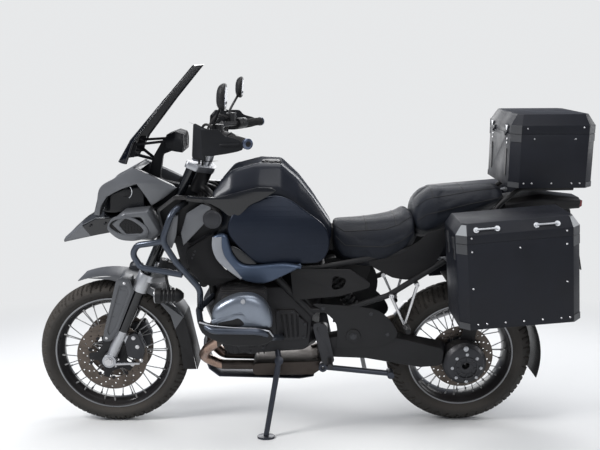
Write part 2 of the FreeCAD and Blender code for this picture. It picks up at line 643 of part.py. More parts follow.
def leading_arm(block, frame):
    """Forked arm from the engine to the ball stud over the front wheel, with the front damper."""
    top = S["slider_long"]
    eye = rod("ArmEye", steering_point(top + 32), steering_point(top + 74), 52.0)
    hole = rod("ArmBore", steering_point(top), steering_point(top + 90), 16.0 + 2 * S["running"])
    hub = steering_point(top + 53)
    arm = tube("ArmSide", [(hub.x - 8, 8, hub.z), (1190, 50, 716), (1096, 96, 670)], 34.0, 60)
    cross = rod("ArmPivot", (1096, -118, 670), (1096, 118, 670), 36.0)
    web = rod("ArmWeb", (1168, -60, 706), (1168, 60, 706), 28.0)
    whole = fused("ArmWhole", [eye, arm, mirrored(arm), cross, web])
    return node("leading_arm", cut("LeadingArm", whole, hole, block, frame))


DRIVE_BORE = 16.0


def swing_arm(block):
    """Single arm on the left with the drive shaft inside, and the drive housing on the wheel."""
    side = [(606, 440, 20), (430, 470, 30), (268, 440, 30), (70, 400, 30), (80, 300, 30),
            (190, 296, 30), (420, 340, 30), (606, 350, 20)]
    hull = loft_across("ArmHull", [
        (100.0, side),
        (158.0, [(600, 434, 20), (430, 462, 30), (268, 432, 30), (90, 388, 30), (96, 312, 30),
                 (190, 306, 30), (420, 348, 30), (600, 356, 20)])])
    pivot = rod("ArmPivotTube", (592, -70, 396), (592, 158, 396), 64.0)
    whole = fused("ArmWhole2", [hull, pivot])
    arm = node("swing_arm", cut("SwingArm", whole, block))
    housing = turned("DriveHousing", [
        (84, DRIVE_BORE), (84, 70), (96, 92), (150, 92), (170, 76), (176, 40), (176, DRIVE_BORE)])
    placed = moved("DrivePlaced", housing, REAR_AXLE)
    return arm, node("final_drive", cut("FinalDrive", placed, arm))


def fuel_tank(frame):
    """Tank between the seat and the steering head, crowned, with a step for the knees."""
    shell = loft_along("Tank", [
        (562.0, [(30, 902, 6), (60, 906, 14), (84, 884, 16), (84, 846, 6)]),
        (640.0, [(34, 1012, 8), (84, 1030, 20), (120, 962, 30), (124, 850, 8)]),
        (700.0, [(44, 1088, 8), (100, 1112, 30), (142, 1030, 40), (150, 830, 8)]),
        (771.0, [(50, 1150, 8), (110, 1180, 30), (158, 1080, 40), (168, 810, 8)]),
        (860.0, [(50, 1156, 8), (112, 1180, 30), (166, 1090, 40), (174, 800, 8)]),
        (971.0, [(46, 1128, 8), (116, 1150, 30), (166, 1072, 40), (174, 800, 8)]),
        (1050.0, [(40, 1060, 8), (110, 1078, 30), (150, 1030, 40), (160, 850, 8)])])
    cap = rod("TankCap", (812, 0, 1140), (811, 0, 1166), 84.0)
    lean_room = fork_room("TankForkRoom", S["slider_long"] + 100, S["fork_long"] + 60)
    node("fuel_tank", cut("FuelTank", fused("TankWhole", [shell, cap]), frame, lean_room))


def fork_room(name, low, high):
    """Space that the fork sweeps as the steering turns."""
    reach = math.hypot(LEG_Y, S["fork_offset"]) + S["stanchion_thick"] / 2 + S["clearance"]
    return rod(name, steering_point(low), steering_point(high), 2 * reach)


def side_panels():
    """Matt panels beside the tank, creased, drawn in towards the seat."""
    outline = [(990, 955, 20), (930, 1040, 30), (792, 1062, 24), (640, 962, 24), (594, 922, 12), (584, 812, 14),
               (636, 778, 14), (872, 774, 14), (966, 866, 20)]
    middle = Vector(840, 915, 0)
    inset = [(middle.x + 0.9 * (x - middle.x), middle.y + 0.9 * (z - middle.y), r) for x, z, r in outline]
    shape = loft_across("SidePanel", [(0.0, outline), (14.0, outline), (24.0, inset)])
    there = Placement(Vector(999, 192, 0), Rotation(Vector(0, 0, 1), 3.6))
    back = Placement(Vector(-1004, 0, 0), Rotation())
    node("side_panels", both("SidePanels", moved("SidePanelPlaced", shape, there.multiply(back))))


def shrouds(guard):
    """Upper shroud with its round badge place, and the wing under it."""
    outline = [(1262, 1000, 14), (1190, 1056, 24), (1076, 1050, 20), (1010, 1000, 20), (1004, 925, 20),
               (1039, 905, 10), (1135, 850, 14), (1170, 896, 14), (1238, 872, 10)]
    middle = Vector(1140, 965, 0)
    inset = [(middle.x + 0.88 * (x - middle.x), middle.y + 0.88 * (z - middle.y), r) for x, z, r in outline]
    shape = loft_across("Shroud", [(180.0, outline), (206.0, outline), (222.0, inset)])
    cap = rod("BadgePlace", (1040, 200, 965), (1040, 224, 965), 78.0)
    upper = cut("ShroudCut", fused("ShroudWhole", [shape, cap]), guard)
    node("tank_shrouds", both("TankShrouds", upper))
    wing = [(1038, 897, 5), (1046, 862, 30), (1022, 787, 40), (950, 722, 40), (846, 697, 40), (700, 742, 20),
            (684, 768, 4), (865, 764, 30), (911, 770, 30), (968, 836, 30), (978, 890, 12), (1004, 900, 4)]
    middle = Vector(930, 770, 0)
    inset = [(middle.x + 0.96 * (x - middle.x), middle.y + 0.96 * (z - middle.y), 0.6 * r) for x, z, r in wing]
    blade = loft_across("Wing", [(196.0, wing), (222.0, wing), (230.0, inset)])
    node("lower_wings", both("LowerWings", cut("WingCut", blade, guard)))


def radiators():
    """A radiator behind each shroud, with its grille of fins."""
    box = prism("Radiator", [(1210, 906, 8), (1150, 926, 8), (1110, 760, 8), (1172, 746, 8)], 112.0, 178.0)
    slots = []
    for i in range(6):
        z = 770.0 + i * 24
        x = 1176.0 + i * 5.6
        slots.append(prism("RadiatorSlot", [(x + 22, z), (x - 6, z), (x - 6, z + 10), (x + 22, z + 10)],
                           120.0, 170.0))
    node("radiators", both("Radiators", cut("RadiatorCut", box, fork_room("RadiatorForkRoom", 300, 900), *slots)))


def front_fairing():
    """Beak, intake scoops, headlight and its cowl."""
    beak = loft_along("Beak", [
        (1692.0, [(14, 846, 3), (40, 838, 3), (34, 828, 3)]),
        (1596.0, [(30, 928, 8), (66, 908, 8), (56, 852, 8)]),
        (1540.0, [(38, 962, 8), (84, 940, 8), (70, 866, 8)]),
        (1479.0, [(42, 962, 8), (100, 948, 8), (84, 880, 8)]),
        (1320.0, [(50, 960, 8), (118, 948, 8), (100, 876, 8)])])
    room = fork_room("BeakForkRoom", 500, 860)
    beak = node("beak", cut("BeakCut", beak, room))
    outline = [(1463, 941, 6), (1403, 988, 10), (1300, 998, 10), (1246, 900, 10), (1287, 868, 10), (1399, 872, 10)]
    middle = Vector(1350, 930, 0)
    inset = [(middle.x + 0.86 * (x - middle.x), middle.y + 0.86 * (z - middle.y), r) for x, z, r in outline]
    scoop = loft_across("Scoop", [(100.0, outline), (168.0, outline), (186.0, inset)])
    mouth = prism("ScoopMouth", [(1420, 935, 10), (1392, 962, 10), (1330, 966, 14), (1310, 920, 14),
                                 (1330, 900, 10), (1392, 898, 10)], 150.0, 200.0)
    lamp = loft_along("Headlight", [
        (1330.0, [(80, 1096, 20), (104, 1080, 10), (104, 965, 10)]),
        (1470.0, [(70, 1078, 20), (104, 1056, 20), (100, 965, 10)]),
        (1516.0, [(50, 1044, 14), (84, 1024, 14), (80, 967, 10)])])
    lamp = node("headlight", cut("HeadlightCut", lamp, beak))
    node("intake_scoops", both("IntakeScoops", cut("ScoopCut", scoop, mouth, beak, lamp, room)))
    cheek = prism("Cheek", [
        (1532, 968, 6), (1500, 1078, 16), (1362, 1158, 20), (1190, 1076, 8), (1296, 1003, 8),
        (1352, 1090, 20), (1474, 1040, 10), (1508, 962, 3)], 104.3, 132.0)
    visor = prism("Visor", [(1502, 1072), (1362, 1156), (1340, 1146), (1358, 1140), (1490, 1066)], -110.0, 110.0)
    cowl = fused("CowlWhole", [cheek, mirrored(cheek), visor])
    node("headlight_cowl", cut("CowlCut", cowl, lamp, room))


def windscreen():
    """Curved screen, flat at its top edge and wrapped round the cowl at its foot."""
    stations = []
    for z, half, edge, front in ((1172.0, 118.0, 1396.0, 1446.0), (1262.0, 172.0, 1352.0, 1388.0),
                                 (1420.0, 170.0, 1226.0, 1246.0), (1558.0, 150.0, 1106.0, 1112.0)):
        thick = 1.3 * S["screen_thick"]
        outer = Part.Arc(Vector(edge, -half, 0), Vector(front, 0, 0), Vector(edge, half, 0))
        inner = Part.Arc(Vector(edge - thick, half, 0), Vector(front - thick, 0, 0), Vector(edge - thick, -half, 0))
        stations.append((z, [outer, Part.LineSegment(Vector(edge, half, 0), Vector(edge - thick, half, 0)),
                             inner, Part.LineSegment(Vector(edge - thick, -half, 0), Vector(edge, -half, 0))]))
    part = doc.addObject("PartDesign::Body", "Windscreen")
    sketches = [draw(part, "XY_Plane", z, edges) for z, edges in stations]
    sheet_loft = part.newObject("PartDesign::AdditiveLoft", "WindscreenLoft")
    sheet_loft.Profile = sketches[0]
    sheet_loft.Sections = sketches[1:]
    sheet_loft.Ruled = True
    return node("windscreen", part)


def cockpit(screen, frame):
    """Bracket ahead of the steering head that carries lamp, instruments and screen."""
    spine = prism("Spine", [
        (1128, 1030, 4), (1322, 965, 8), (1329, 1080, 8), (1306, 1180, 20), (1252, 1268, 10),
        (1184, 1268, 10), (1184, 1226, 8), (1262, 1196, 20), (1280, 1090, 20), (1160, 1062, 10)], -20.0, 20.0)
    dial = loft_along("Dial", [
        (1168.0, [(70, 1286, 10), (112, 1262, 20), (96, 1212, 16)]),
        (1196.0, [(70, 1296, 10), (112, 1270, 20), (96, 1216, 16)]),
        (1236.0, [(60, 1282, 10), (90, 1262, 20), (80, 1222, 16)])])
    stays = []
    for side in (1, -1):
        stays.append(rod("ScreenStay", (1296, side * 8, 1174), (1372, side * 96, 1212), 13.0))
        stays.append(rod("ScreenStay", (1216, side * 56, 1258), (1360, side * 96, 1246), 11.0))
        stays.append(prism("ScreenMount", [(1362, 1196), (1348, 1262), (1373, 1262), (1401, 1196)],
                           side * 96 - 9, side * 96 + 9))
    whole = fused("CockpitWhole", [spine, dial] + stays)
    node("instrument_panel", cut("Cockpit", whole, screen, frame))


def guards(block, frame):
    """Crash bars: a loop round each cylinder and one up to the tank."""
    lower = tube("EngineGuard", [(1060, 100, 610), (1108, 216, 590), (1086, 330, 572), (1034, 377, 556),
                                 (850, 377, 552), (806, 330, 510), (770, 120, 430)], S["guard_tube"], 50)
    lower = cut("EngineGuardCut", lower, block, frame)
    lower_pair = node("engine_guards", both("EngineGuards", lower))
    main = tube("TankGuardTube", [(1140, 160, 1034), (1196, 246, 996), (1236, 258, 888), (1184, 262, 800),
                                  (1094, 252, 686), (1100, 226, 588)], S["guard_tube"], 60)
    nose = tube("TankGuardNose", [(1228, 256, 884), (1340, 236, 864), (1362, 230, 826), (1330, 234, 772),
                                  (1162, 259, 748)], S["guard_tube"], 34)
    upper = cut("TankGuardCut", fused("TankGuardWhole", [main, nose]), lower)
    return lower_pair, node("tank_guards", both("TankGuards", upper))


def skid_plate():
    """Bent sheet under the engine."""
    thick = 4.0
    outer = [(1112, 400), (1116, 330), (1094, 262), (1050, 226), (700, 214), (640, 224)]
    inner = [(x - 1.2 * thick, z + 1.2 * thick) for x, z in reversed(outer)]
    node("skid_plate", prism("SkidPlate", outer + inner, -64.0, 64.0))


def seats(frame):
    """Rider's saddle, scooped and narrow in front, and the pillion's, a step higher."""
    rider = loft_along("RiderSeat", [
        (556.0, [(50, 926, 20), (84, 906, 20), (84, 846, 8)]),
        (500.0, [(72, 926, 20), (108, 900, 20), (130, 776, 10)]),
        (420.0, [(90, 936, 25), (124, 912, 25), (142, 770, 12)]),
        (310.0, [(110, 968, 25), (150, 944, 25), (156, 800, 12)]),
        (224.3, [(110, 986, 25), (146, 966, 25), (150, 886, 12)])])
    node("rider_seat", cut("RiderSeatCut", rider, frame))
    pillion = loft_along("PillionSeat", [
        (224.0, [(90, 1003, 20), (125, 985, 20), (130, 900, 10)]),
        (173.0, [(90, 1069, 25), (128, 1045, 25), (132, 880, 10)]),
        (-99.0, [(80, 1079, 25), (115, 1060, 25), (118, 1006, 10)]),
        (-148.0, [(66, 1062, 15), (96, 1050, 15), (100, 1022, 8)])])
    node("pillion_seat", cut("PillionSeatCut", pillion, frame))


def tail_and_carrier(frame):
    """Tail under the carrier with its lamp and plate holder, and the carrier plate."""
    under = 1078.0
    plate = plan("CarrierPlate", [(-156, 84, 16), (-430, 96, 20), (-430, -96, 20), (-156, -84, 16)], under - 10, 10)
    windows = [plan("CarrierWindow", [(x, 66, 14), (x - 70, 66, 14), (x - 70, 14, 14), (x, 14, 14)],
                    under - 20, 30) for x in (-186, -276)]
    windows += [mirrored(w) for w in windows]
    bars = tube("CarrierBar", [(-60, 112, 924), (-130, 124, 1010), (-200, 112, 1062), (-420, 100, 1062)],
                S["rack_tube"] + 2, 60)
    whole = fused("CarrierWhole", [plate, bars, mirrored(bars)])
    carrier = node("rear_carrier", cut("RearCarrier", whole, frame, *windows))
    tail = loft_along("Tail", [
        (-150.0, [(60, 1008, 12), (96, 996, 12), (90, 950, 10)]),
        (-300.0, [(60, 1030, 12), (90, 1014, 12), (84, 960, 10)]),
        (-470.0, [(40, 1012, 10), (66, 1002, 10), (60, 968, 8)])])
    holder = prism("PlateHolder", [(-352, 970, 6), (-430, 966, 6), (-478, 740, 8), (-470, 736, 6), (-404, 900, 40)],
                   -60.0, 60.0)
    sign = prism("Plate", [(-447, 880), (-451, 880), (-487, 710), (-483, 710)], -90.0, 90.0)
    node("tail_unit", cut("TailUnit", fused("TailWhole", [tail, holder, sign]), frame, carrier))


def rear_hugger(arm, drive):
    """Splash guard close round the rear tyre, carried by the drive housing."""
    centre = Vector(0, 0, REAR_Z)
    inner = S["rear_radius"] + 20
    outer = inner + S["panel_thick"]
    start, finish = math.radians(78), math.radians(196)
    half = 0.5 * (start + finish)

    def spot(radius, angle):
        return Vector(centre.x + radius * math.cos(angle), centre.z + radius * math.sin(angle), 0)

    part = doc.addObject("PartDesign::Body", "HuggerBlade")
    edges = [Part.Arc(spot(outer, start), spot(outer, half), spot(outer, finish)),
             Part.LineSegment(spot(outer, finish), spot(inner, finish)),
             Part.Arc(spot(inner, finish), spot(inner, half), spot(inner, start)),
             Part.LineSegment(spot(inner, start), spot(outer, start))]
    pad_middle(part, edges, "hugger_wide")
    stay = prism("HuggerStay", [(20, REAR_Z + 60, 10), (-40, REAR_Z + 60, 10), (-90, REAR_Z + 290, 6),
                                (-88, REAR_Z + 318, 6), (-46, REAR_Z + 330, 6)], 104.0, 112.0)
    foot = prism("HuggerFoot", [(-44, REAR_Z + 300), (-90, REAR_Z + 290), (-90, REAR_Z + 327.2),
                                (-44, REAR_Z + 336.5)], 80.0, 106.0)
    node("rear_hugger", cut("RearHugger", fused("HuggerWhole", [part, stay, foot]), arm, drive))


def dampers(carriers):
    """Front and rear damper: an eye at each end, the body, and the coils stacked round it."""
    pieces = []
    for name, low, high, coils in (("Front", Vector(1165.1, 0, 720.0), Vector(1122, 0, 936), 7),
                                   ("Rear", Vector(398, 86, 446), Vector(590, 50, 728), 9)):
        run = (high - low).normalize()
        long = (high - low).Length
        body = rod(name + "DamperBody", low, high, 30.0)
        rings = [rod(name + "Coil", low + run * (long * (0.26 + 0.56 * i / coils)),
                     low + run * (long * (0.26 + 0.56 * i / coils) + 9), 58.0) for i in range(coils)]
        seat = rod(name + "SpringSeat", low + run * (0.2 * long), low + run * (0.23 * long), 66.0)
        top = rod(name + "DamperTop", low + run * (0.84 * long), low + run * (0.93 * long), 62.0)
        pieces.append(cut(name + "Damper", fused(name + "DamperWhole", [body, seat, top] + rings), *carriers))
    return node("dampers", together("Dampers", pieces))


def under_seat(frame, block):
    """Side covers below the seat on bosses of the frame, and the battery box between them."""
    cover = prism("SeatCover", [(735, 745, 16), (489, 741, 20), (388, 668, 16), (533, 626, 24), (724, 610, 10)],
                  166.0, 170.0)
    window = prism("CoverWindow", [(560, 715, 14), (500, 700, 14), (520, 660, 14), (566, 650, 14)], 160.0, 176.0)
    boss = rod("CoverBoss", (714, 148, 622), (714, 168, 624), 22.0)
    side = cut("SeatCoverCut", fused("SeatCoverWhole", [cut("SeatCoverOpen", cover, window), boss]), frame, block)
    case = prism("BatteryBox", [(640, 735, 16), (430, 762, 16), (392, 700, 16), (430, 590, 24), (600, 560, 20)],
                 -112.0, 16.0)
    node("under_seat_covers", together("UnderSeat", [side, mirrored(side), cut("BatteryBoxCut", case, frame, block)]))


def fog_lamps(guard):
    """Finned lamp under the nose of each upper crash bar, pointing forward."""
    part = doc.addObject("PartDesign::Body", "FogLamp")
    outline = [(1284, 10), (1284, 31), (1262, 33)]
    for i in range(4):
        outline += [(1256 - 16 * i, 33), (1256 - 16 * i, 24), (1247 - 16 * i, 24), (1247 - 16 * i, 32)]
    outline += [(1180, 22), (1168, 10)]
    edges = rounded([(x, r) for x, r in outline] + [(1168, 0), (1276, 0), (1276, 10)])
    sketch = draw(part, "XY_Plane", 0, edges)
    feature = part.newObject("PartDesign::Revolution", "FogLampTurn")
    feature.Profile = sketch
    feature.ReferenceAxis = (sketch, ["H_Axis"])
    feature.Angle = 360.0
    lamp = moved("FogLampPlaced", part, Placement(Vector(0, 206, 645), Rotation()))
    stem = rod("FogLampStem", (1226, 209, 664), (1232, 247, 756), 12.0)
    node("fog_lamps", both("FogLamps", cut("FogLampCut", fused("FogLampWhole", [lamp, stem]), guard)))


def pegs(frame, block):
    """Rider's pegs on the frame, and the passenger's on their hangers."""
    bracket = prism("PegPlate", [(650, 520, 20), (586, 500, 20), (550, 334, 16), (600, 322, 16)], 162.0, 170.0)
    peg = rod("Peg", (572, 166, 345), (572, 250, 348), 24.0)
    tie = rod("PegTie", (660, 90, 490), (612, 168, 486), 26.0)
    rider = cut("RiderPeg", fused("RiderPegWhole", [bracket, peg, tie]), frame, block)
    hanger = prism("Hanger", [(330, 640, 10), (196, 690, 10), (190, 668, 8), (240, 500, 10), (280, 486, 10),
                              (336, 612, 8)], 166.0, 174.0)
    window = prism("HangerWindow", [(306, 618, 8), (222, 650, 8), (262, 530, 8)], 160.0, 180.0)
    tie2 = rod("HangerTie", (310, 130, 632), (310, 170, 632), 22.0)
    tie3 = rod("HangerTie", (214, 130, 690), (214, 170, 676), 22.0)
    step = rod("Step", (256, 170, 494), (256, 250, 498), 24.0)
    hung = cut("PassengerPeg", cut("PassengerPegOpen", fused("HangerWhole", [hanger, tie2, tie3, step]), window),
               frame)
    node("footpegs", both("Footpegs", together("PegSide", [rider, hung])))


def luggage_rack(frame):
    """Tube hoop on each side that the pannier hangs on."""
    y = S["pannier_inner"] - 18
    hoop = tube("RackHoop", [(84, y, 812), (84, y, 886), (-236, y, 906), (-270, y, 704), (84, y, 676),
                             (84, y, 800)], S["rack_tube"], 40)
    sleeve = rod("RackSleeve", (84, y, 788), (84, y, 824), S["rack_tube"] + 5)
    front = tube("RackFront", [(96, 126, 776), (92, y - 20, 780), (80, y, 800)], S["rack_tube"] - 2, 24)
    rear = tube("RackRear", [(-150, 108, 926), (-180, y - 10, 930), (-200, y, 903.7)], S["rack_tube"] - 2, 24)
    pads = [rod("RackPuck", (x, y + 2, z), (x, S["pannier_inner"] - 0.3, z), 28.0)
            for x, z in ((30, 889.4), (-130, 899.4), (-170, 696.1))]
    whole = fused("RackWhole", [hoop, sleeve, front, rear] + pads)
    return node("pannier_racks", both("PannierRacks", cut("RackCut", whole, frame)))


def case_outline(long, deep, corner, inset=0.0):
    half = long / 2 - inset
    low, high = inset, deep - inset
    c = corner - 0.6 * inset
    return [(half, low), (half, high - c), (half - c, high), (c - half, high), (-half, high - c), (-half, low)]


def top_outline(long, wide, corner, inset=0.0):
    a, b, c = long / 2 - inset, wide / 2 - inset, corner - 0.6 * inset
    return [(a, b - c), (a - c, b), (c - a, b), (-a, b - c), (-a, c - b), (c - a, -b), (a - c, -b), (a, c - b)]


def hinge_knuckles(name, x, z, y_places, length, side):
    """Knuckles on a case's end wall: side is 1 above the joint on the lid, and -1 on the body."""
    radius = 3.5
    toward = 1 if x < 0 else -1
    pieces = []
    for y in y_places:
        pieces.append(rod(name + "Knuckle", (x, y, z), (x, y + length, z), 2 * radius))
        leaf = prism(name + "Leaf", [(x, z + side * S["case_gap"] / 2), (x + toward * 4.5, z + side * S["case_gap"] / 2),
                                     (x + toward * 4.5, z + side * 14), (x, z + side * 14)], y, y + length)
        pieces.append(leaf)
    return pieces


def luggage_case(name, outline, tall, lid_tall, lip, hinge_x, hinge_y):
    """Open box of bent sheet and its bevelled lid, hinged at one end."""
    wall = S["case_wall"]
    gap = S["case_gap"]
    shell = plan(name + "Shell", outline(0.0), 0, tall)
    room = plan(name + "Room", outline(wall), wall, tall)
    knuckle = 24.0
    body_hinge = hinge_knuckles(name + "Body", hinge_x, tall + gap / 2, hinge_y, knuckle, -1)
    box = fused(name + "Box", [cut(name + "Open", shell, room)] + body_hinge)
    skirt = 0.45 * lid_tall
    base = tall + gap
    outer = loft(name + "LidOuter", "XY_Plane", [
        (base, outline(0.0)), (base + skirt, outline(0.0)), (base + lid_tall, outline(lip))])
    inner = loft(name + "LidInner", "XY_Plane", [
        (base - 1, outline(wall)), (base + skirt - wall / 2, outline(wall)),
        (base + lid_tall - wall, outline(lip + wall / 2))])
    lid_hinge = hinge_knuckles(name + "Lid", hinge_x, tall + gap / 2, [y + knuckle + gap for y in hinge_y],
                               knuckle, 1)
    lid = fused(name + "Lid", [cut(name + "LidOpen", outer, inner)] + lid_hinge)
    return box, lid


def panniers():
    """Sheet metal cases, chamfered at their outer corners, each with a bevelled lid."""
    turn = Rotation(Vector(0, 1, 0), S["pannier_pitch"])
    long = S["pannier_long"]
    for side, deep in (("left", S["left_deep"]), ("right", S["right_deep"])):
        name = side.capitalize() + "Pannier"
        sign = 1 if side == "left" else -1

        def outline(inset, deep=deep, sign=sign):
            points = case_outline(long, deep, S["case_corner"], inset)
            return points if sign == 1 else [(x, -y) for x, y in reversed(points)]

        places = [sign * y - (0 if sign == 1 else 48.3) for y in (0.2 * deep, 0.6 * deep)]
        box, lid = luggage_case(name, outline, S["pannier_tall"], S["pannier_lid"], 24.0, -long / 2 - 4, places)
        there = Placement(Vector(-131, sign * S["pannier_inner"], 608), turn)
        node(side + "_pannier", moved(name + "Placed", box, there))
        node(side + "_pannier_lid", moved(name + "LidPlaced", lid, there))


def top_case():
    """Sheet metal case on the carrier, its lid hinged at the front."""
    wide, long = S["top_wide"], S["top_long"]

    def outline(inset):
        return top_outline(long, wide, S["case_corner"], inset)

    box, lid = luggage_case("TopCase", outline, S["top_tall"], S["top_lid"], 26.0, long / 2 + 4, [-120.0, 72.0])
    there = Placement(Vector(-302, 0, 1078), Rotation())
    node("top_case", moved("TopCasePlaced", box, there))
    node("top_case_lid", moved("TopLidPlaced", lid, there))


STAND_PIVOT = Vector(785, 172, 344)
STAND_AXIS = Vector(0.001, 0.916, 0.401).normalize()
GROUND_UP = Vector(0, -math.sin(LEAN), math.cos(LEAN))


def side_stand(block):
    """Leg and foot on a cranked pivot; the pivot's lug is bolted to the engine."""
    foot = Vector(S["stand_foot_x"], S["stand_out"], S["stand_out"] * math.tan(LEAN))
    thick = 8.0
    plate = rod("StandFoot", foot, foot + GROUND_UP * thick, 72.0)
    ankle = foot + GROUND_UP * (thick - 1)
    half = 13.0
    pin = 12.0
    eye = rod("StandEye", STAND_PIVOT - STAND_AXIS * half, STAND_PIVOT + STAND_AXIS * half, 36.0)
    leg = cone("StandLeg", STAND_PIVOT + (ankle - STAND_PIVOT) * 0.02, ankle, 25.0, 22.0)
    bore = rod("StandBore", STAND_PIVOT - STAND_AXIS * 60, STAND_PIVOT + STAND_AXIS * 60, pin + 2 * S["running"])
    node("side_stand", cut("SideStand", fused("SideStandWhole", [eye, leg, plate]), bore))
    gap = half + S["running"]
    lug = rod("StandLug", STAND_PIVOT - STAND_AXIS * (gap + 26), STAND_PIVOT - STAND_AXIS * gap, 36.0)
    shaft = rod("StandPin", STAND_PIVOT - STAND_AXIS * (gap + 1), STAND_PIVOT + STAND_AXIS * (gap + 1), pin)
    head = rod("StandPinHead", STAND_PIVOT + STAND_AXIS * gap, STAND_PIVOT + STAND_AXIS * (gap + 4), 22.0)
    base = STAND_PIVOT - STAND_AXIS * (gap + 14)
    arm = rod("StandArm", base, (800, 100, 420), 24.0)
    whole = fused("StandLugWhole", [lug, shaft, head, arm])
    return node("stand_bracket", cut("StandBracket", whole, block))


CENTRE_PIVOT = Vector(600, 0, 300)


def centre_stand():
    """Two legs with a cross tube, folded up behind their pivots."""
    y = 134.0
    rear = Vector(312, y, 268)
    leg = rod("CentreLeg", (CENTRE_PIVOT.x, y, CENTRE_PIVOT.z), rear, 24.0)
    shoe = rod("CentreShoe", rear - Vector(0, 26, 0), rear + Vector(0, 26, 0), 30.0)
    cross = rod("CentreCross", (420, 3 - y, 281), (420, y - 3, 281), 19.0)
    eye = rod("CentreEye", (CENTRE_PIVOT.x, y - 15, CENTRE_PIVOT.z), (CENTRE_PIVOT.x, y + 15, CENTRE_PIVOT.z), 36.0)
    bore = rod("CentreBore", (CENTRE_PIVOT.x, -200, CENTRE_PIVOT.z), (CENTRE_PIVOT.x, 200, CENTRE_PIVOT.z),
               14.0 + 2 * S["running"])
    whole = fused("CentreWhole", [leg, mirrored(leg), shoe, mirrored(shoe), cross, eye, mirrored(eye)])
    node("centre_stand", cut("CentreStand", whole, bore))


front_wheel()
rear_wheel()
fork()
bar = handlebar()
hand_guards(bar)
mirrors(bar)
front_fender()
block = engine()
cylinders = doc.getObject("Cylinders")
exhaust(cylinders)
frame = frame_tubes(block, [cylinders, block])
lead = leading_arm(block, frame)
arm, drive = swing_arm(block)
dampers([frame, lead, arm])
under_seat(frame, block)
fuel_tank(frame)
side_panels()
lower_guard, tank_guard = guards(block, frame)
fog_lamps(tank_guard)
shrouds(tank_guard)
radiators()
front_fairing()
screen = windscreen()
cockpit(screen, frame)
skid_plate()
seats(frame)
tail_and_carrier(frame)
rear_hugger(arm, drive)
pegs(frame, block)
luggage_rack(frame)
panniers()
top_case()
side_stand(block)
centre_stand()

doc.recompute()
low = Vector(1e6, 1e6, 0)
high = Vector(-1e6, -1e6, 0)
for piece in nodes:
    reach = piece.Shape.optimalBoundingBox(True, False)
    low = Vector(min(low.x, reach.XMin), min(low.y, reach.YMin), 0)
    high = Vector(max(high.x, reach.XMax), max(high.y, reach.YMax), 0)
SHIFT = Vector(-(low.x + high.x) / 2, -(low.y + high.y) / 2, 0)
for piece in nodes:
    piece.Placement = Placement(SHIFT, Rotation()).multiply(LEANED)
doc.recompute()
print("shift", tuple(SHIFT), "from", tuple(low), "to", tuple(high))
for thing in doc.Objects:
    if "Invalid" in thing.State or "Error" in thing.State:
        raise RuntimeError("%s did not build" % thing.Label)
for piece in nodes:
    if piece.Shape.isNull() or not piece.Shape.isValid() or not piece.Shape.Solids:
        raise RuntimeError("%s has no valid solid" % piece.Label)

os.makedirs("parts", exist_ok=True)
for piece in nodes:
    piece.Shape.exportStep("parts/%s.step" % piece.Label)
    print("%-24s %3d solids %9.0f cm3" % (piece.Label, len(piece.Shape.Solids), piece.Shape.Volume / 1000))
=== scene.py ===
import json
import math

import bmesh
import bpy
from mathutils import Matrix, Vector
from mathutils.bvhtree import BVHTree

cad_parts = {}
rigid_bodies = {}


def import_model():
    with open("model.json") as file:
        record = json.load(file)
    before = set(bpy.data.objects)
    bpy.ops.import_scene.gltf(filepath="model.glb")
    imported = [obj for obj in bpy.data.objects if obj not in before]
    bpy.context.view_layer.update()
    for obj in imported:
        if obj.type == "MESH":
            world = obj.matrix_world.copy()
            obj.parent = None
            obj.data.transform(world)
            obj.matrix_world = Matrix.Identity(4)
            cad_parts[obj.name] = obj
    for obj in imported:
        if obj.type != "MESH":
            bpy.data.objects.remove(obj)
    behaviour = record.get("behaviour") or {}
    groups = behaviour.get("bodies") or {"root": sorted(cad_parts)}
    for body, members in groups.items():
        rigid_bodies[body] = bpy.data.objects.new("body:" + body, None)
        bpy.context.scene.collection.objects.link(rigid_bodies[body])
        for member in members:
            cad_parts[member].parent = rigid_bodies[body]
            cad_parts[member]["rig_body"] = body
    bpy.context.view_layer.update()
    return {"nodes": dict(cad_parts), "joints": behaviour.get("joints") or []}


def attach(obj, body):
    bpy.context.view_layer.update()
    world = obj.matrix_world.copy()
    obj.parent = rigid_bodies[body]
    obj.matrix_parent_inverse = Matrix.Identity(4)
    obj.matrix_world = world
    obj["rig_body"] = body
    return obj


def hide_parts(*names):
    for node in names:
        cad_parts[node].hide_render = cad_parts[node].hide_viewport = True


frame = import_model()

# Studio: a pale floor that runs up into nothing, soft panels of light, and the camera low on the
# machine's left side. The machine is drawn upright in millimetres, from the ground under its rear
# axle, and STANDING leans each finished piece onto the side stand.
LEAN = math.radians(11.0)
REAR_AXLE = Vector((0, 0, 319.59))
FRONT_AXLE = Vector((1510, 0, 326.46))
places = {joint["name"]: Vector(joint["pos_m"]) for joint in frame["joints"]}
STANDING = (Matrix.Translation(places["rear_wheel_spin"]) @ Matrix.Rotation(-LEAN, 4, "X")
            @ Matrix.Scale(0.001, 4) @ Matrix.Translation(-REAR_AXLE))
ground = Matrix.Translation((STANDING.translation.x, STANDING.translation.y, 0))

camera = bpy.data.objects.new("camera", bpy.data.cameras.new("camera"))
bpy.context.scene.collection.objects.link(camera)
camera.data.lens = 45.0
camera.data.sensor_width = 36.0
camera.location = ground @ Vector((0.6961, 3.3640, 0.9745))
camera.rotation_euler = (math.radians(90 - 1.82), math.radians(0.28), math.radians(180 - 0.05))
bpy.context.scene.camera = camera

scene = bpy.context.scene
scene.view_settings.view_transform = "Standard"


def shader_node(tree, kind, **settings):
    """New node in a tree. An underscore in a setting's name is a space in the socket's name."""
    node = tree.nodes.new("ShaderNode" + kind)
    for socket, value in settings.items():
        node.inputs[socket.replace("_", " ")].default_value = value
    return node


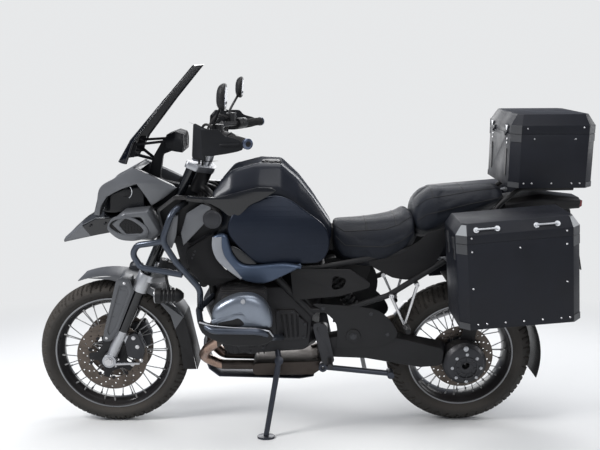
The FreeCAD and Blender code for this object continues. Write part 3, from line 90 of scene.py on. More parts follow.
def wired(tree, *wires):
    """Join sockets, each wire as where it starts and where it ends."""
    for start, end in wires:
        tree.links.new(start, end)


PALE = (0.80, 0.81, 0.82, 1)
FLOOR_SIZE = 14.0
CLEAR_FLOOR, LOST_FLOOR = 2.2, 5.0
floor_mesh = bmesh.new()
bmesh.ops.create_grid(floor_mesh, x_segments=1, y_segments=1, size=FLOOR_SIZE)
floor_data = bpy.data.meshes.new("studio_floor")
floor_mesh.to_mesh(floor_data)
floor_mesh.free()
floor = bpy.data.objects.new("studio_floor", floor_data)
scene.collection.objects.link(floor)
floor_paint = bpy.data.materials.new("studio_floor")
floor_paint.use_nodes = True
floor_shader = floor_paint.node_tree.nodes["Principled BSDF"]
floor_shader.inputs["Base Color"].default_value = (0.74, 0.74, 0.73, 1)
floor_shader.inputs["Roughness"].default_value = 0.85
# Far from the machine the camera sees the floor turn into the plain pale backdrop, so no horizon shows.
tree = floor_paint.node_tree
where = shader_node(tree, "TexCoord")
reach = shader_node(tree, "VectorMath")
reach.operation = "LENGTH"
far = shader_node(tree, "MapRange", From_Min=CLEAR_FLOOR, From_Max=LOST_FLOOR)
far.interpolation_type = "SMOOTHSTEP"
path = shader_node(tree, "LightPath")
lost = shader_node(tree, "Math")
lost.operation = "MULTIPLY"
glow = shader_node(tree, "Emission", Color=PALE)
floor_mix = shader_node(tree, "MixShader")
wired(tree, (where.outputs["Object"], reach.inputs[0]), (reach.outputs["Value"], far.inputs["Value"]),
      (far.outputs["Result"], lost.inputs[0]), (path.outputs["Is Camera Ray"], lost.inputs[1]),
      (lost.outputs["Value"], floor_mix.inputs["Fac"]), (floor_shader.outputs[0], floor_mix.inputs[1]),
      (glow.outputs[0], floor_mix.inputs[2]),
      (floor_mix.outputs[0], tree.nodes["Material Output"].inputs["Surface"]))
floor_data.materials.append(floor_paint)

world = bpy.data.worlds.new("studio")
scene.world = world
world.use_nodes = True
tree = world.node_tree
sky = tree.nodes["Background"]
sky.inputs["Color"].default_value = (0.80, 0.86, 1.0, 1)
sky.inputs["Strength"].default_value = 0.38
backdrop = shader_node(tree, "Background", Color=PALE, Strength=1.0)
seen = shader_node(tree, "LightPath")
sky_mix = shader_node(tree, "MixShader")
wired(tree, (seen.outputs["Is Camera Ray"], sky_mix.inputs["Fac"]), (sky.outputs[0], sky_mix.inputs[1]),
      (backdrop.outputs[0], sky_mix.inputs[2]),
      (sky_mix.outputs[0], tree.nodes["World Output"].inputs["Surface"]))

for name, place, aim, size, power in (
        ("light_sun_side", (4.2, 2.2, 3.2), (0.9, 0, 0.7), 1.4, 170.0),
        ("light_left", (-0.5, 4.2, 3.2), (0.7, 0, 0.6), 2.6, 70.0),
        ("light_top", (0.6, 0.2, 4.2), (0.7, 0, 0.6), 3.0, 95.0),
        ("light_right", (0.8, -4.0, 2.4), (0.7, 0, 0.6), 3.0, 90.0),
        ("light_rear", (-3.6, -0.6, 2.2), (0.4, 0, 0.7), 2.2, 60.0)):
    lamp = bpy.data.lights.new(name, "AREA")
    lamp.size = size
    lamp.energy = power
    lamp_object = bpy.data.objects.new(name, lamp)
    scene.collection.objects.link(lamp_object)
    lamp_object.location = ground @ Vector(place)
    toward = (ground @ Vector(aim)) - lamp_object.location
    lamp_object.rotation_euler = toward.to_track_quat("-Z", "Y").to_euler()

# Tyres: dual sport rubber on wire wheels. Each is one pitch of tread, cut with slanted grooves, wrapped
# over the crown and repeated round the wheel, with smooth sidewalls and a bead ring. Road dust lies on
# the rubber, most where it faces up.
DUST = (0.23, 0.19, 0.15, 1)


def coating(name, colour, rough, metallic=0.0, grain=900.0, relief=0.05, vary=0.18, patch=9.0,
            dust=0.0, gloss=0.0, shine=0.5):
    """Painted, moulded or bare surface: fine grain, uneven gloss, cloudy tone, and dust on what faces up."""
    material = bpy.data.materials.new(name)
    material.use_nodes = True
    tree = material.node_tree
    shader = tree.nodes["Principled BSDF"]
    shader.inputs["Metallic"].default_value = metallic
    shader.inputs["Specular IOR Level"].default_value = shine
    shader.inputs["Coat Weight"].default_value = gloss
    shader.inputs["Coat Roughness"].default_value = 0.08
    where = shader_node(tree, "TexCoord")
    fine = shader_node(tree, "TexNoise", Scale=grain, Detail=3.0)
    cloud = shader_node(tree, "TexNoise", Scale=patch, Detail=6.0)
    bump = shader_node(tree, "Bump", Strength=relief, Distance=0.002)
    level = shader_node(tree, "MapRange", From_Min=0.3, From_Max=0.7, To_Min=max(0.03, rough * (1 - vary)),
                        To_Max=min(1.0, rough * (1 + vary)))
    tone = shader_node(tree, "ValToRGB")
    for stop, place, share in zip(tone.color_ramp.elements, (0.32, 0.72), (1 - vary, 1 + vary)):
        stop.position = place
        stop.color = [min(1, c * share) for c in colour] + [1]
    wired(tree, (where.outputs["Object"], fine.inputs["Vector"]),
          (where.outputs["Object"], cloud.inputs["Vector"]),
          (fine.outputs["Fac"], bump.inputs["Height"]), (bump.outputs["Normal"], shader.inputs["Normal"]),
          (cloud.outputs["Fac"], level.inputs["Value"]),
          (level.outputs["Result"], shader.inputs["Roughness"]),
          (cloud.outputs["Fac"], tone.inputs["Fac"]), (tone.outputs["Color"], shader.inputs["Base Color"]))
    if dust:
        facing = shader_node(tree, "NewGeometry")
        upward = shader_node(tree, "SeparateXYZ")
        amount = shader_node(tree, "MapRange", From_Min=-0.2, From_Max=1.0, To_Min=0.25 * dust, To_Max=dust)
        speck = shader_node(tree, "Math")
        speck.operation = "MULTIPLY"
        mix = shader_node(tree, "Mix")
        mix.data_type = "RGBA"
        mix.inputs["B"].default_value = DUST
        wired(tree, (facing.outputs["Normal"], upward.inputs["Vector"]),
              (upward.outputs["Z"], amount.inputs["Value"]),
              (amount.outputs["Result"], speck.inputs[0]), (fine.outputs["Fac"], speck.inputs[1]),
              (speck.outputs["Value"], mix.inputs["Factor"]), (tone.outputs["Color"], mix.inputs["A"]),
              (mix.outputs["Result"], shader.inputs["Base Color"]))
    return material


def made(name, bm, body, material, stands_for=(), soft_edge=35.0):
    """Lean a drawn mesh onto the stand and make it a piece that rides on a body."""
    data = bpy.data.meshes.new(name)
    bmesh.ops.transform(bm, matrix=STANDING, verts=bm.verts)
    bm.to_mesh(data)
    bm.free()
    return piece_of(name, data, body, material, stands_for, soft_edge)


def piece_of(name, data, body, material, stands_for=(), soft_edge=35.0):
    """A finished mesh as a piece: smooth over gentle edges, one finish, riding on its body."""
    piece = bpy.data.objects.new(name, data)
    scene.collection.objects.link(piece)
    data.materials.clear()
    data.materials.append(material)
    data.shade_smooth()
    data.set_sharp_from_angle(angle=math.radians(soft_edge))
    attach(piece, body)
    if stands_for:
        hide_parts(*stands_for)
    return piece


def made_all(body, slot, node, soft_edge, *pieces):
    """Pieces that dress one structural piece, each as its name, its drawing and its finish."""
    for name, bm, material in pieces:
        made(name, bm, body, material, (node,), soft_edge)


def drawings(count):
    """Empty drawings, each to be filled with one piece."""
    return [bmesh.new() for _ in range(count)]


def spun(bm, profile, axis_point, steps):
    """Turn a closed profile of (y, radius) points about an axle."""
    verts = [bm.verts.new(Vector((0, y, radius)) + Vector(axis_point)) for y, radius in profile]
    edges = [bm.edges.new((verts[i], verts[(i + 1) % len(verts)])) for i in range(len(verts))]
    bmesh.ops.spin(bm, geom=verts + edges, cent=axis_point, axis=(0, 1, 0), angle=math.tau, steps=steps,
                   use_merge=True)
    bmesh.ops.remove_doubles(bm, verts=bm.verts, dist=0.01)
    bmesh.ops.recalc_face_normals(bm, faces=bm.faces)


rubber = coating("tyre_rubber", (0.022, 0.021, 0.020), 0.82, grain=1400.0, relief=0.25, vary=0.2, dust=0.32,
                 shine=0.3)
TREADS = (
    # name, body, axle, outside radius, crown radius, half width, bead radius, half rim, pitches
    ("front", "front_wheel", FRONT_AXLE, 325.3, 62.0, 60.0, 255.0, 42.0, 44),
    ("rear", "rear_wheel", REAR_AXLE, 317.9, 90.0, 85.0, 230.0, 62.0, 40),
)


def tread_pitch(half_arc, pitch_angle, rows):
    """One pitch of tread as a flat grid over (angle, place across), sunk along two slanted grooves."""
    bm = bmesh.new()
    bmesh.ops.create_grid(bm, x_segments=12, y_segments=rows, size=0.5)
    for vert in bm.verts:
        along, across = vert.co.x, vert.co.y * 2
        slant = 0.42 * abs(across) + (0.0 if across > 0 else 0.5)
        phase = (along + 0.5 - slant) % 1.0
        groove = min(phase, 1 - phase) < 0.085 and 0.12 < abs(across) < 0.96
        second = abs(phase - 0.5) < 0.075 and 0.30 < abs(across) < 0.80
        middle = abs(abs(across) - 0.10) < 0.030
        vert.co.z = -6.0 if groove or middle else (-5.0 if second else 0.0)
        vert.co.x = along * pitch_angle
        vert.co.y = across * half_arc
    return bm


for name, body, axle, radius, crown, half, bead, half_rim, pitches in TREADS:
    arc = math.asin(0.94 * half / crown)
    step = math.tau / pitches
    bm = tread_pitch(arc, step, 40)
    centre = radius - crown
    for vert in bm.verts:
        depth = crown + vert.co.z
        y = depth * math.sin(vert.co.y)
        r = centre + depth * math.cos(vert.co.y)
        vert.co = Vector((r * math.sin(vert.co.x), y, r * math.cos(vert.co.x))) + axle
    bmesh.ops.spin(bm, geom=bm.verts[:] + bm.edges[:] + bm.faces[:], cent=axle, axis=(0, 1, 0),
                   angle=-math.tau * (pitches - 1) / pitches, steps=pitches - 1, use_duplicate=True)
    bmesh.ops.remove_doubles(bm, verts=bm.verts, dist=0.05)
    shoulder = Vector((crown * math.sin(arc), centre + crown * math.cos(arc)))
    seat = Vector((half_rim - 2, bead))
    for side in (1, -1):
        wall = []
        for i in range(7):
            t = i / 6
            bulge = 0.17 * 4 * t * (1 - t) * (seat - shoulder).length
            spot = shoulder.lerp(seat, t)
            step_out = 0.8 if i in (2, 3) else 0.0
            wall.append((side * (spot.x + bulge * 0.93 + step_out), spot.y + bulge * 0.1))
        wall.append((side * (half_rim - 12), bead))
        wall.append((side * (half_rim - 24), bead + 24))
        wall.append((side * (0.45 * half), radius - 40))
        ring = [bm.verts.new(Vector((0, y, r)) + axle) for y, r in wall]
        line = [bm.edges.new((a, b)) for a, b in zip(ring, ring[1:])]
        bmesh.ops.spin(bm, geom=ring + line, cent=axle, axis=(0, 1, 0), angle=math.tau,
                       steps=pitches * 12 // 4, use_merge=True)
    bmesh.ops.recalc_face_normals(bm, faces=bm.faces)
    made(name + "_tyre_tread", bm, body, rubber, (name + "_tyre",), 30)

# Wire wheels: black alloy rims whose bright spokes hook into the outer flanges, crossed in pairs, with a
# nipple at each outer end, and a waisted black hub. The bead side of the rim holds the tyre.
rim_black = coating("rim_black", (0.008, 0.008, 0.010), 0.3, relief=0.03, dust=0.12, gloss=0.3, shine=0.3)
# Bright metal for thin rings along both lips of the black rim: a painted highlight that stands in for the
# light along the lip.
rim_lip_highlight = coating("rim_edge", (0.20, 0.205, 0.215), 0.3, metallic=1.0, relief=0.03, dust=0.12)
satin_black = coating("satin_black", (0.007, 0.0075, 0.009), 0.42, grain=1500.0, relief=0.08, dust=0.07,
                      shine=0.25)
spoke_steel = coating("spoke_steel", (0.34, 0.34, 0.34), 0.3, metallic=1.0, grain=600.0, dust=0.2)
RIMS = (
    # name, body, axle, bead radius, half width, hub half width, hub radius
    ("front", "front_wheel", FRONT_AXLE, 255.0, 42.0, 48.0, 62.0),
    ("rear", "rear_wheel", REAR_AXLE, 230.0, 62.0, 52.0, 66.0),
)
SPOKE_PAIRS, SPOKE_RADIUS = 10, 2.3
HUB_BOLTS, HUB_BOLT_CIRCLE = 5, 44.0


def bar(bm, start, end, radius, end_radius=None, sides=16):
    """Round bar between two points, tapered if a second radius is given."""
    start, end = Vector(start), Vector(end)
    run = end - start
    place = Matrix.Translation((start + end) / 2) @ run.to_track_quat("Z", "Y").to_matrix().to_4x4()
    bmesh.ops.create_cone(bm, cap_ends=True, segments=sides, radius1=radius, depth=run.length,
                          radius2=radius if end_radius is None else end_radius, matrix=place)


for name, body, axle, bead, half, hub_half, hub_radius in RIMS:
    rim, edges, hub, spokes = drawings(4)
    outer = [(half, bead), (half + 0.6, bead - 5), (half, bead - 10), (half - 5, bead - 14),
             (half - 12, bead - 16), (half - 17, bead - 21), (0.3 * half, bead - 31)]
    inner = [(0.3 * half, bead - 26), (half - 14, bead - 12), (half - 5, bead - 7), (half - 4.5, bead)]
    profile = outer + [(-y, r) for y, r in reversed(outer)] + [(-y, r) for y, r in inner] + \
        [(y, r) for y, r in reversed(inner)]
    spun(rim, profile, axle, 96)
    bar(rim, axle + Vector((0, -6, bead - 52)), axle + Vector((0, -6, bead - 24)), 4.2)
    # A thin ring in bright metal at each lip of the rim, a painted highlight.
    for side in (1, -1):
        spun(edges, [(side * (half + out), bead - down)
                     for out, down in ((0.9, 1), (1.2, 4), (0.8, 7), (-1, 4))],
             axle, 96)
    flange = [(hub_half, 16), (hub_half, hub_radius - 3), (hub_half - 2, hub_radius),
              (hub_half - 7, hub_radius), (hub_half - 10, hub_radius - 10),
              (hub_half - 20, 0.66 * hub_radius)]
    spun(hub, flange + [(-y, r) for y, r in reversed(flange)], axle, 64)
    for i in range(HUB_BOLTS):
        turn = math.tau * (i + 0.5) / HUB_BOLTS
        for side in (1, -1):
            spot = axle + Vector((HUB_BOLT_CIRCLE * math.sin(turn), side * hub_half,
                                  HUB_BOLT_CIRCLE * math.cos(turn)))
            bar(hub, spot, spot + Vector((0, side * 5, 0)), 7, sides=6)
    step = math.tau / SPOKE_PAIRS
    for i in range(SPOKE_PAIRS):
        for side in (1, -1):
            for turn in (1, -1):
                at_hub = (i + 0.25 * side) * step + turn * math.radians(7)
                at_rim = (i + 0.25 * side) * step + turn * math.radians(24)
                start = axle + Vector((math.sin(at_hub) * (hub_radius - 4), side * (hub_half - 3.5),
                                       math.cos(at_hub) * (hub_radius - 4)))
                end = axle + Vector((math.sin(at_rim) * (bead - 18), side * (0.3 * half + 6),
                                     math.cos(at_rim) * (bead - 18)))
                bar(spokes, start, end, SPOKE_RADIUS, sides=8)
                bar(spokes, start.lerp(end, 0.9), end, 4.3, 4.8, sides=6)
    made_all(body, "black_rim", name + "_rim_and_spokes", 40,
             (name + "_rim", rim, rim_black), (name + "_rim_lip_highlights", edges, rim_lip_highlight),
             (name + "_hub", hub, satin_black), (name + "_spokes", spokes, spoke_steel))

# Brake discs: drilled steel rings of a dull rusty brown, uneven in tone, riding on black five-armed carriers.
# Two in front, one behind.
disc_worn = coating("disc_worn", (0.085, 0.070, 0.060), 0.42, metallic=0.75, grain=260.0, relief=0.25,
                    vary=0.4, patch=22.0, dust=0.4)


def ring_of(radius, count, phase=0.0, centre=(0, 0)):
    """Points round a circle."""
    return [(centre[0] + radius * math.cos(phase + math.tau * i / count),
             centre[1] + radius * math.sin(phase + math.tau * i / count)) for i in range(count)]


def pierced(bm, outline, holes, y_middle, thick, edge=0.0):
    """Plate with holes square to Y, cut from a filled flat curve of (x, z) outlines."""
    curve = bpy.data.curves.new("cutting", "CURVE")
    curve.dimensions = "2D"
    curve.fill_mode = "BOTH"
    curve.extrude = thick / 2 - edge
    curve.bevel_depth = edge
    curve.bevel_resolution = 1
    curve.offset = -edge
    for points in [outline] + list(holes):
        spline = curve.splines.new("POLY")
        spline.points.add(len(points) - 1)
        for spot, (x, z) in zip(spline.points, points):
            spot.co = (x, z, 0, 1)
        spline.use_cyclic_u = True
    cutting = bpy.data.objects.new("cutting", curve)
    scene.collection.objects.link(cutting)
    flat = bpy.data.meshes.new_from_object(cutting.evaluated_get(bpy.context.evaluated_depsgraph_get()))
    bpy.data.objects.remove(cutting)
    bpy.data.curves.remove(curve)
    flat.transform(Matrix.Translation((0, y_middle, 0)) @ Matrix.Rotation(math.pi / 2, 4, "X"))
    before = set(bm.faces)
    bm.from_mesh(flat)
    bpy.data.meshes.remove(flat)
    new_faces = [face for face in bm.faces if face not in before]
    new_verts = list({vert for face in new_faces for vert in face.verts})
    bmesh.ops.remove_doubles(bm, verts=new_verts, dist=0.01)


DISCS = (
    # name, body, axle, node, outside radius, inside radius, place across, sides
    ("front_disc", "front_wheel", FRONT_AXLE, "front_discs", 152.5, 98.0, 68.0, (1, -1)),
    ("rear_disc", "rear_wheel", REAR_AXLE, "rear_disc", 138.0, 92.0, 74.0, (1,)),
)
for name, body, axle, node, radius, inside, across, sides in DISCS:
    ring, carrier = drawings(2)
    for side in sides:
        holes = [ring_of(inside, 60)]
        for row, share in enumerate((0.2, 0.5, 0.8)):
            spot_radius = inside + share * (radius - inside)
            for x, z in ring_of(spot_radius, 18, row * math.tau / 54):
                holes.append(ring_of(3.6, 8, centre=(x, z)))
        pierced(ring, ring_of(radius, 90), holes, side * across, 4.5, 0.5)
        spider = []
        for i in range(5):
            turn = math.tau * i / 5
            for lean_out, reach in ((-0.30, 66), (-0.12, inside + 3), (0.12, inside + 3), (0.30, 66)):
                spider.append((reach * math.cos(turn + lean_out), reach * math.sin(turn + lean_out)))
        pierced(carrier, spider, [ring_of(30, 32)], side * across, 6.0, 0.8)
        for x, z in ring_of(inside + 1, 10, math.tau / 20):
            bar(carrier, (x, side * (across - 4), z), (x, side * (across + 4), z), 7, sides=14)
    for bm in (ring, carrier):
        bmesh.ops.translate(bm, verts=bm.verts, vec=axle)
        bmesh.ops.recalc_face_normals(bm, faces=bm.faces)
    made_all(body, "disc_steel", node, 40, (name + "_rings", ring, disc_worn),
             (name + "_carriers", carrier, satin_black))

# Fork: black stanchions in pale cast lower legs that carry the axle and the brake calipers, a cast bridge
# with the ball joint above the wheel, and the top yoke under the bar. Bolts hold the clamps and the calipers.


def upright(point):
    """Place on the upright machine, in millimetres, of a point of the leaning one."""
    return STANDING.inverted() @ point


def joined_copy(node):
    """Drawing of a structural piece on the upright machine, its facets joined."""
    bm = bmesh.new()
    bm.from_mesh(frame["nodes"][node].data)
    bmesh.ops.remove_doubles(bm, verts=bm.verts, dist=1e-5)
    bmesh.ops.dissolve_limit(bm, angle_limit=math.radians(0.5), verts=bm.verts, edges=bm.edges)
    bmesh.ops.transform(bm, matrix=STANDING.inverted(), verts=bm.verts)
    return bm


def fair_copy(node, name, material, edge=0.8, keep=None, cuts=(), angle=28.0, soft_edge=35.0, steps=2):
    """Copy a structural piece, or the part of it that keep() takes, round its sharp edges and give it a
    finish. The cuts are planes, as point and normal, that part the finishes."""
    bm = joined_copy(node)
    for point, normal in cuts:
        bmesh.ops.bisect_plane(bm, geom=bm.verts[:] + bm.edges[:] + bm.faces[:], dist=0.001,
                               plane_co=point, plane_no=normal)
    if keep:
        others = [face for face in bm.faces if not keep(face.calc_center_median())]
        bmesh.ops.delete(bm, geom=others, context="FACES")
    if edge:
        sharp = [e for e in bm.edges if len(e.link_faces) == 2 and e.calc_face_angle(0) > math.radians(angle)]
        bmesh.ops.bevel(bm, geom=sharp, offset=edge, offset_type="OFFSET", segments=steps, profile=0.5,
                        affect="EDGES", clamp_overlap=False, material=-1)
    return made(name, bm, frame["nodes"][node]["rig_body"], material, (node,), soft_edge)


RAKE = math.radians(24.5)
FORK_UP = Vector((-math.sin(RAKE), 0, math.cos(RAKE)))
FORK_AHEAD = Vector((math.cos(RAKE), 0, math.sin(RAKE)))
LEG_Y = 105.0


def on_fork(up, across, ahead=0.0):
    """Place along the fork: up from the axle, across, and ahead of the legs."""
    return FRONT_AXLE + Vector((0, across, 0)) + FORK_UP * up + FORK_AHEAD * ahead


def bolt(bm, spot, direction, radius=6.0, tall=5.0, socket=True):
    """Round-headed bolt on its washer, with a socket in the head, or a hexagon head."""
    spot, direction = Vector(spot), Vector(direction).normalized()
    bar(bm, spot - direction, spot + direction * 1.2, 1.35 * radius, sides=20)
    if not socket:
        bar(bm, spot, spot + direction * tall, radius * 1.1, sides=6)
        return
    bar(bm, spot, spot + direction * tall * 0.7, radius, sides=20)
    bar(bm, spot + direction * tall * 0.7, spot + direction * tall, radius, 0.75 * radius, sides=20)
    bar(bm, spot + direction * (tall + 0.1), spot + direction * (tall + 0.2), 0.42 * radius, sides=6)


bright_steel = coating("bright_steel", (0.55, 0.55, 0.56), 0.28, metallic=1.0, grain=700.0, dust=0.1)
leg_silver = coating("leg_silver", (0.42, 0.43, 0.45), 0.36, metallic=0.9, grain=800.0, relief=0.18,
                     dust=0.15)
tube_black = coating("tube_black", (0.006, 0.007, 0.009), 0.2, metallic=0.3, relief=0.02, gloss=0.4)
caliper_dark = coating("caliper_dark", (0.030, 0.032, 0.037), 0.36, metallic=0.7, grain=700.0, relief=0.15,
                       dust=0.2)
STEERED = frame["nodes"]["fork_legs"]["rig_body"]
CAST_TOP, SLIDER_TOP, FORK_TOP = 150.0, 400.0, 925.0
CALIPER_BACK = -31.0


def behind_legs(c):
    """Whether a place belongs to the calipers, which hang behind the legs."""
    return (c - FRONT_AXLE).dot(FORK_AHEAD) < CALIPER_BACK or (abs(c.y) < 80 and (c - FRONT_AXLE).length > 40)


def below_cast_top(c):
    """Whether a place belongs to the castings at the foot of the legs."""
    return (c - on_fork(CAST_TOP, 0)).dot(FORK_UP) < 0


LEG_CUTS = ((on_fork(CAST_TOP, 0), FORK_UP), (on_fork(0, 0, CALIPER_BACK), FORK_AHEAD))
fair_copy("fork_legs", "fork_castings", leg_silver, 1.0, angle=40.0, cuts=LEG_CUTS,
          keep=lambda c: below_cast_top(c) and not behind_legs(c))
fair_copy("fork_legs", "front_calipers", caliper_dark, 1.5, cuts=LEG_CUTS,
          keep=lambda c: below_cast_top(c) and behind_legs(c))
tubes, bolts = drawings(2)
for y in (LEG_Y, -LEG_Y):
    bar(tubes, on_fork(CAST_TOP - 4, y), on_fork(SLIDER_TOP - 14, y), 24.0, 25.0, sides=48)
    bar(tubes, on_fork(SLIDER_TOP - 14, y), on_fork(SLIDER_TOP - 4, y), 26.5, sides=48)
    bar(tubes, on_fork(SLIDER_TOP - 4, y), on_fork(SLIDER_TOP + 2, y), 25.0, 20.5, sides=48)
    bar(tubes, on_fork(SLIDER_TOP, y), on_fork(FORK_TOP, y), 18.5, sides=48)
    bar(tubes, on_fork(FORK_TOP - 4, y), on_fork(FORK_TOP + 1, y), 15.0, sides=6)
for side in (1, -1):
    bar(bolts, (1494, side * 121, 312), (1384, side * 112, 309), 6.5, 5.0)
    for x, z in ((1393, 380), (1408, 420), (1380, 318), (1418, 300)):
        bolt(bolts, (x, side * 100, z), (0, side, 0), 6.5, 5.5)
    for up in (16, -16):
        bolt(bolts, on_fork(up, side * (LEG_Y + 6), CALIPER_BACK), -FORK_AHEAD, 5.0, 6.0)
    for start, end, radius, sides in ((128, 133, 19.0, 32), (133, 139, 15.0, 6)):
        bar(bolts, FRONT_AXLE + Vector((0, side * start, 0)), FRONT_AXLE + Vector((0, side * end, 0)), radius,
            sides=sides)
made_all(STEERED, "black_metal", "fork_legs", 40, ("fork_tubes", tubes, tube_black),
         ("fork_bolts", bolts, bright_steel))
fair_copy("fork_bridge", "fork_bridge_casting", leg_silver, 2.0)
fair_copy("top_yoke", "top_yoke_casting", leg_silver, 1.6)

# Front fender: grey moulded blade, side plates with a sunk pocket bolted to the fork legs, and a long black
# rubber flap behind the wheel.
grey_matt = coating("grey_matt", (0.085, 0.088, 0.095), 0.42, metallic=0.4, grain=2600.0, relief=0.04,
                    vary=0.08)
moulded_black = coating("moulded_black", (0.008, 0.008, 0.009), 0.5, grain=1700.0, relief=0.2, dust=0.05,
                        shine=0.25)
FLAP_CUT = (Vector((1218, 0, 470)), Vector((0.82, 0, 0.57)).normalized())


def flowing(points, steps=6):
    """Closed outline that flows through (x, z) points; a third number, 0, keeps a point as a corner."""
    result = []
    count = len(points)
    spots = [Vector(p[:2]) for p in points]
    slopes = [Vector((0, 0)) if len(p) > 2 else (spots[(i + 1) % count] - spots[i - 1]) / 2
              for i, p in enumerate(points)]
    for i, here in enumerate(spots):
        there = spots[(i + 1) % count]
        limit = (there - here).length
        first, second = slopes[i].copy(), slopes[(i + 1) % count].copy()
        for slope in (first, second):
            if slope.length > limit:
                slope.length = limit
        for j in range(steps):
            t = j / steps
            result.append(tuple((2 * t ** 3 - 3 * t ** 2 + 1) * here + (t ** 3 - 2 * t ** 2 + t) * first
                                + (3 * t ** 2 - 2 * t ** 3) * there + (t ** 3 - t ** 2) * second))
    return result


def soften(points, steps=5):
    """Outline from (x, z) or (x, z, radius) corners, with each radius turned into an arc."""
    result = []
    count = len(points)
    for i, corner in enumerate(points):
        here = Vector(corner[:2])
        radius = corner[2] if len(corner) > 2 else 0
        if not radius:
            result.append(tuple(here))
            continue
        back = (Vector(points[i - 1][:2]) - here).normalized()
        on = (Vector(points[(i + 1) % count][:2]) - here).normalized()
        half = back.angle(on) / 2
        reach = min(radius / math.tan(half), 0.49 * (Vector(points[i - 1][:2]) - here).length,
                    0.49 * (Vector(points[(i + 1) % count][:2]) - here).length)
        start, end = here + back * reach, here + on * reach
        for j in range(steps + 1):
            t = j / steps
            result.append(tuple((1 - t) ** 2 * start + 2 * t * (1 - t) * here + t ** 2 * end))
    return result


def two_tone(node, cut, front, back):
    """Copy a piece whose finish changes at a plane; front and back are name, finish and rounded edge."""
    for (name, material, edge), ahead in ((front, True), (back, False)):
        fair_copy(node, name, material, edge, cuts=(cut,),
                  keep=lambda c: ((c - cut[0]).dot(cut[1]) > 0) == ahead)


two_tone("front_fender", FLAP_CUT, ("fender_blade", grey_matt, 0.6),
         ("fender_flap", moulded_black, 0.6))
PLATE_EDGE = [(1454, 696, 18), (1404, 686, 10), (1392, 642, 14), (1462, 474, 20), (1499, 426, 12),
              (1526, 426, 10), (1515, 470, 20)]
PLATE_POCKET = [(1444, 668, 12), (1414, 662, 8), (1406, 640, 10), (1470, 484, 10), (1500, 446, 8),
                (1506, 466, 12)]
trim, bolts = drawings(2)
for side in (1, -1):
    pierced(trim, soften(PLATE_EDGE), [soften(PLATE_POCKET)], side * 136.6, 4.0, 1.2)
    for x, z in ((1424, 676), (1512, 436)):
        bolt(bolts, (x, side * 138, z), (0, side, 0), 4.5, 3.5)
    for x, z in ((1420, 640), (1445, 583), (1470, 526)):
        bar(trim, (x, side * 134, z), (x + 42, side * 136.5, z + 14), 2.2, sides=12)
made_all(STEERED, "panel_black", "front_fender", 40, ("fender_trim", trim, grey_matt),
         ("fender_bolts", bolts, bright_steel))

# Beak: a matt grey tip, darker sides bolted along a seam, and a black plane along its middle.
shroud_grey = coating("shroud_grey", (0.115, 0.119, 0.127), 0.4, metallic=0.5, grain=2600.0, relief=0.04,
                      vary=0.08)
gloss_black = coating("gloss_black", (0.004, 0.0045, 0.006), 0.22, grain=2000.0, relief=0.02, vary=0.1,
                      gloss=0.4, shine=0.3)
CHASSIS = frame["nodes"]["fuel_tank"]["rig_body"]
TIP_CUT = (Vector((1600, 0, 900)), Vector((0.80, 0, -0.60)).normalized())
two_tone("beak", TIP_CUT, ("beak_tip", shroud_grey, 2.0), ("beak_rear", gloss_black, 2.0))


def bridged(bm, loops):
    """Skin over a row of closed loops that have the same number of points, closed at both ends."""
    rings = []
    for points in loops:
        verts = [bm.verts.new(point) for point in points]
        rings.append([bm.edges.new((verts[i - 1], verts[i])) for i in range(len(verts))])
    for first, second in zip(rings, rings[1:]):
        bmesh.ops.bridge_loops(bm, edges=first + second)
    for ring in (rings[0], rings[-1]):
        bmesh.ops.contextual_create(bm, geom=ring)
    bmesh.ops.recalc_face_normals(bm, faces=bm.faces)


def chained(bm, spots, radius, sides=8):
    """Bars end to end through a row of spots."""
    for first, second in zip(spots, spots[1:]):
        bar(bm, first, second, radius, sides=sides)


BEAK_RIDGE = (
    # x, half width, height
    (1676, 10, 856), (1640, 18, 891), (1596, 30, 929), (1540, 38, 963), (1479, 42, 963), (1400, 44, 962),
    (1330, 46, 961),
)
ridge, seams, bolts = drawings(3)
bridged(ridge, [[(x, -half, z - 1), (x, -0.8 * half, z + 2.6), (x, 0.8 * half, z + 2.6), (x, half, z - 1)]
                for x, half, z in BEAK_RIDGE])
for side in (1, -1):
    chained(seams, [(1602, side * 60, 908), (1540, side * 82, 941), (1479, side * 97, 949)], 1.6, 10)
    for x, y, z in ((1566, 80, 908), (1500, 96, 920)):
        bolt(bolts, (x, side * y, z), (0, side, 0.2), 3.6, 2.6)
made_all(CHASSIS, "panel_black", "beak", 40, ("beak_centre_plane", ridge, moulded_black),
         ("beak_seams", seams, shroud_grey), ("beak_bolts", bolts, caliper_dark))

# Headlight: a dark housing with two reflectors behind a clear lens and a bright ring round each, and a bright
# crescent on either side. Over it the grey cowl, like an inverted V.
lamp_dark = coating("lamp_dark", (0.005, 0.0055, 0.007), 0.25, metallic=0.1, relief=0.02, shine=0.3)
chrome = coating("chrome", (0.75, 0.76, 0.78), 0.07, metallic=1.0, grain=400.0, relief=0.01, vary=0.1)


def clear_cover(name, tint, rough, index):
    """Clear moulding, faintly rippled, that lets light through."""
    material = bpy.data.materials.new(name)
    material.use_nodes = True
    tree = material.node_tree
    shader = tree.nodes["Principled BSDF"]
    shader.inputs["Base Color"].default_value = tint
    shader.inputs["Transmission Weight"].default_value = 1.0
    shader.inputs["IOR"].default_value = index
    where = shader_node(tree, "TexCoord")
    ripple = shader_node(tree, "TexNoise", Scale=30.0)
    smear = shader_node(tree, "MapRange", To_Min=rough, To_Max=rough + 0.06)
    bump = shader_node(tree, "Bump", Strength=0.03)
    wired(tree, (where.outputs["Object"], ripple.inputs["Vector"]),
          (ripple.outputs["Fac"], bump.inputs["Height"]), (ripple.outputs["Fac"], smear.inputs["Value"]),
          (smear.outputs["Result"], shader.inputs["Roughness"]),
          (bump.outputs["Normal"], shader.inputs["Normal"]))
    return material


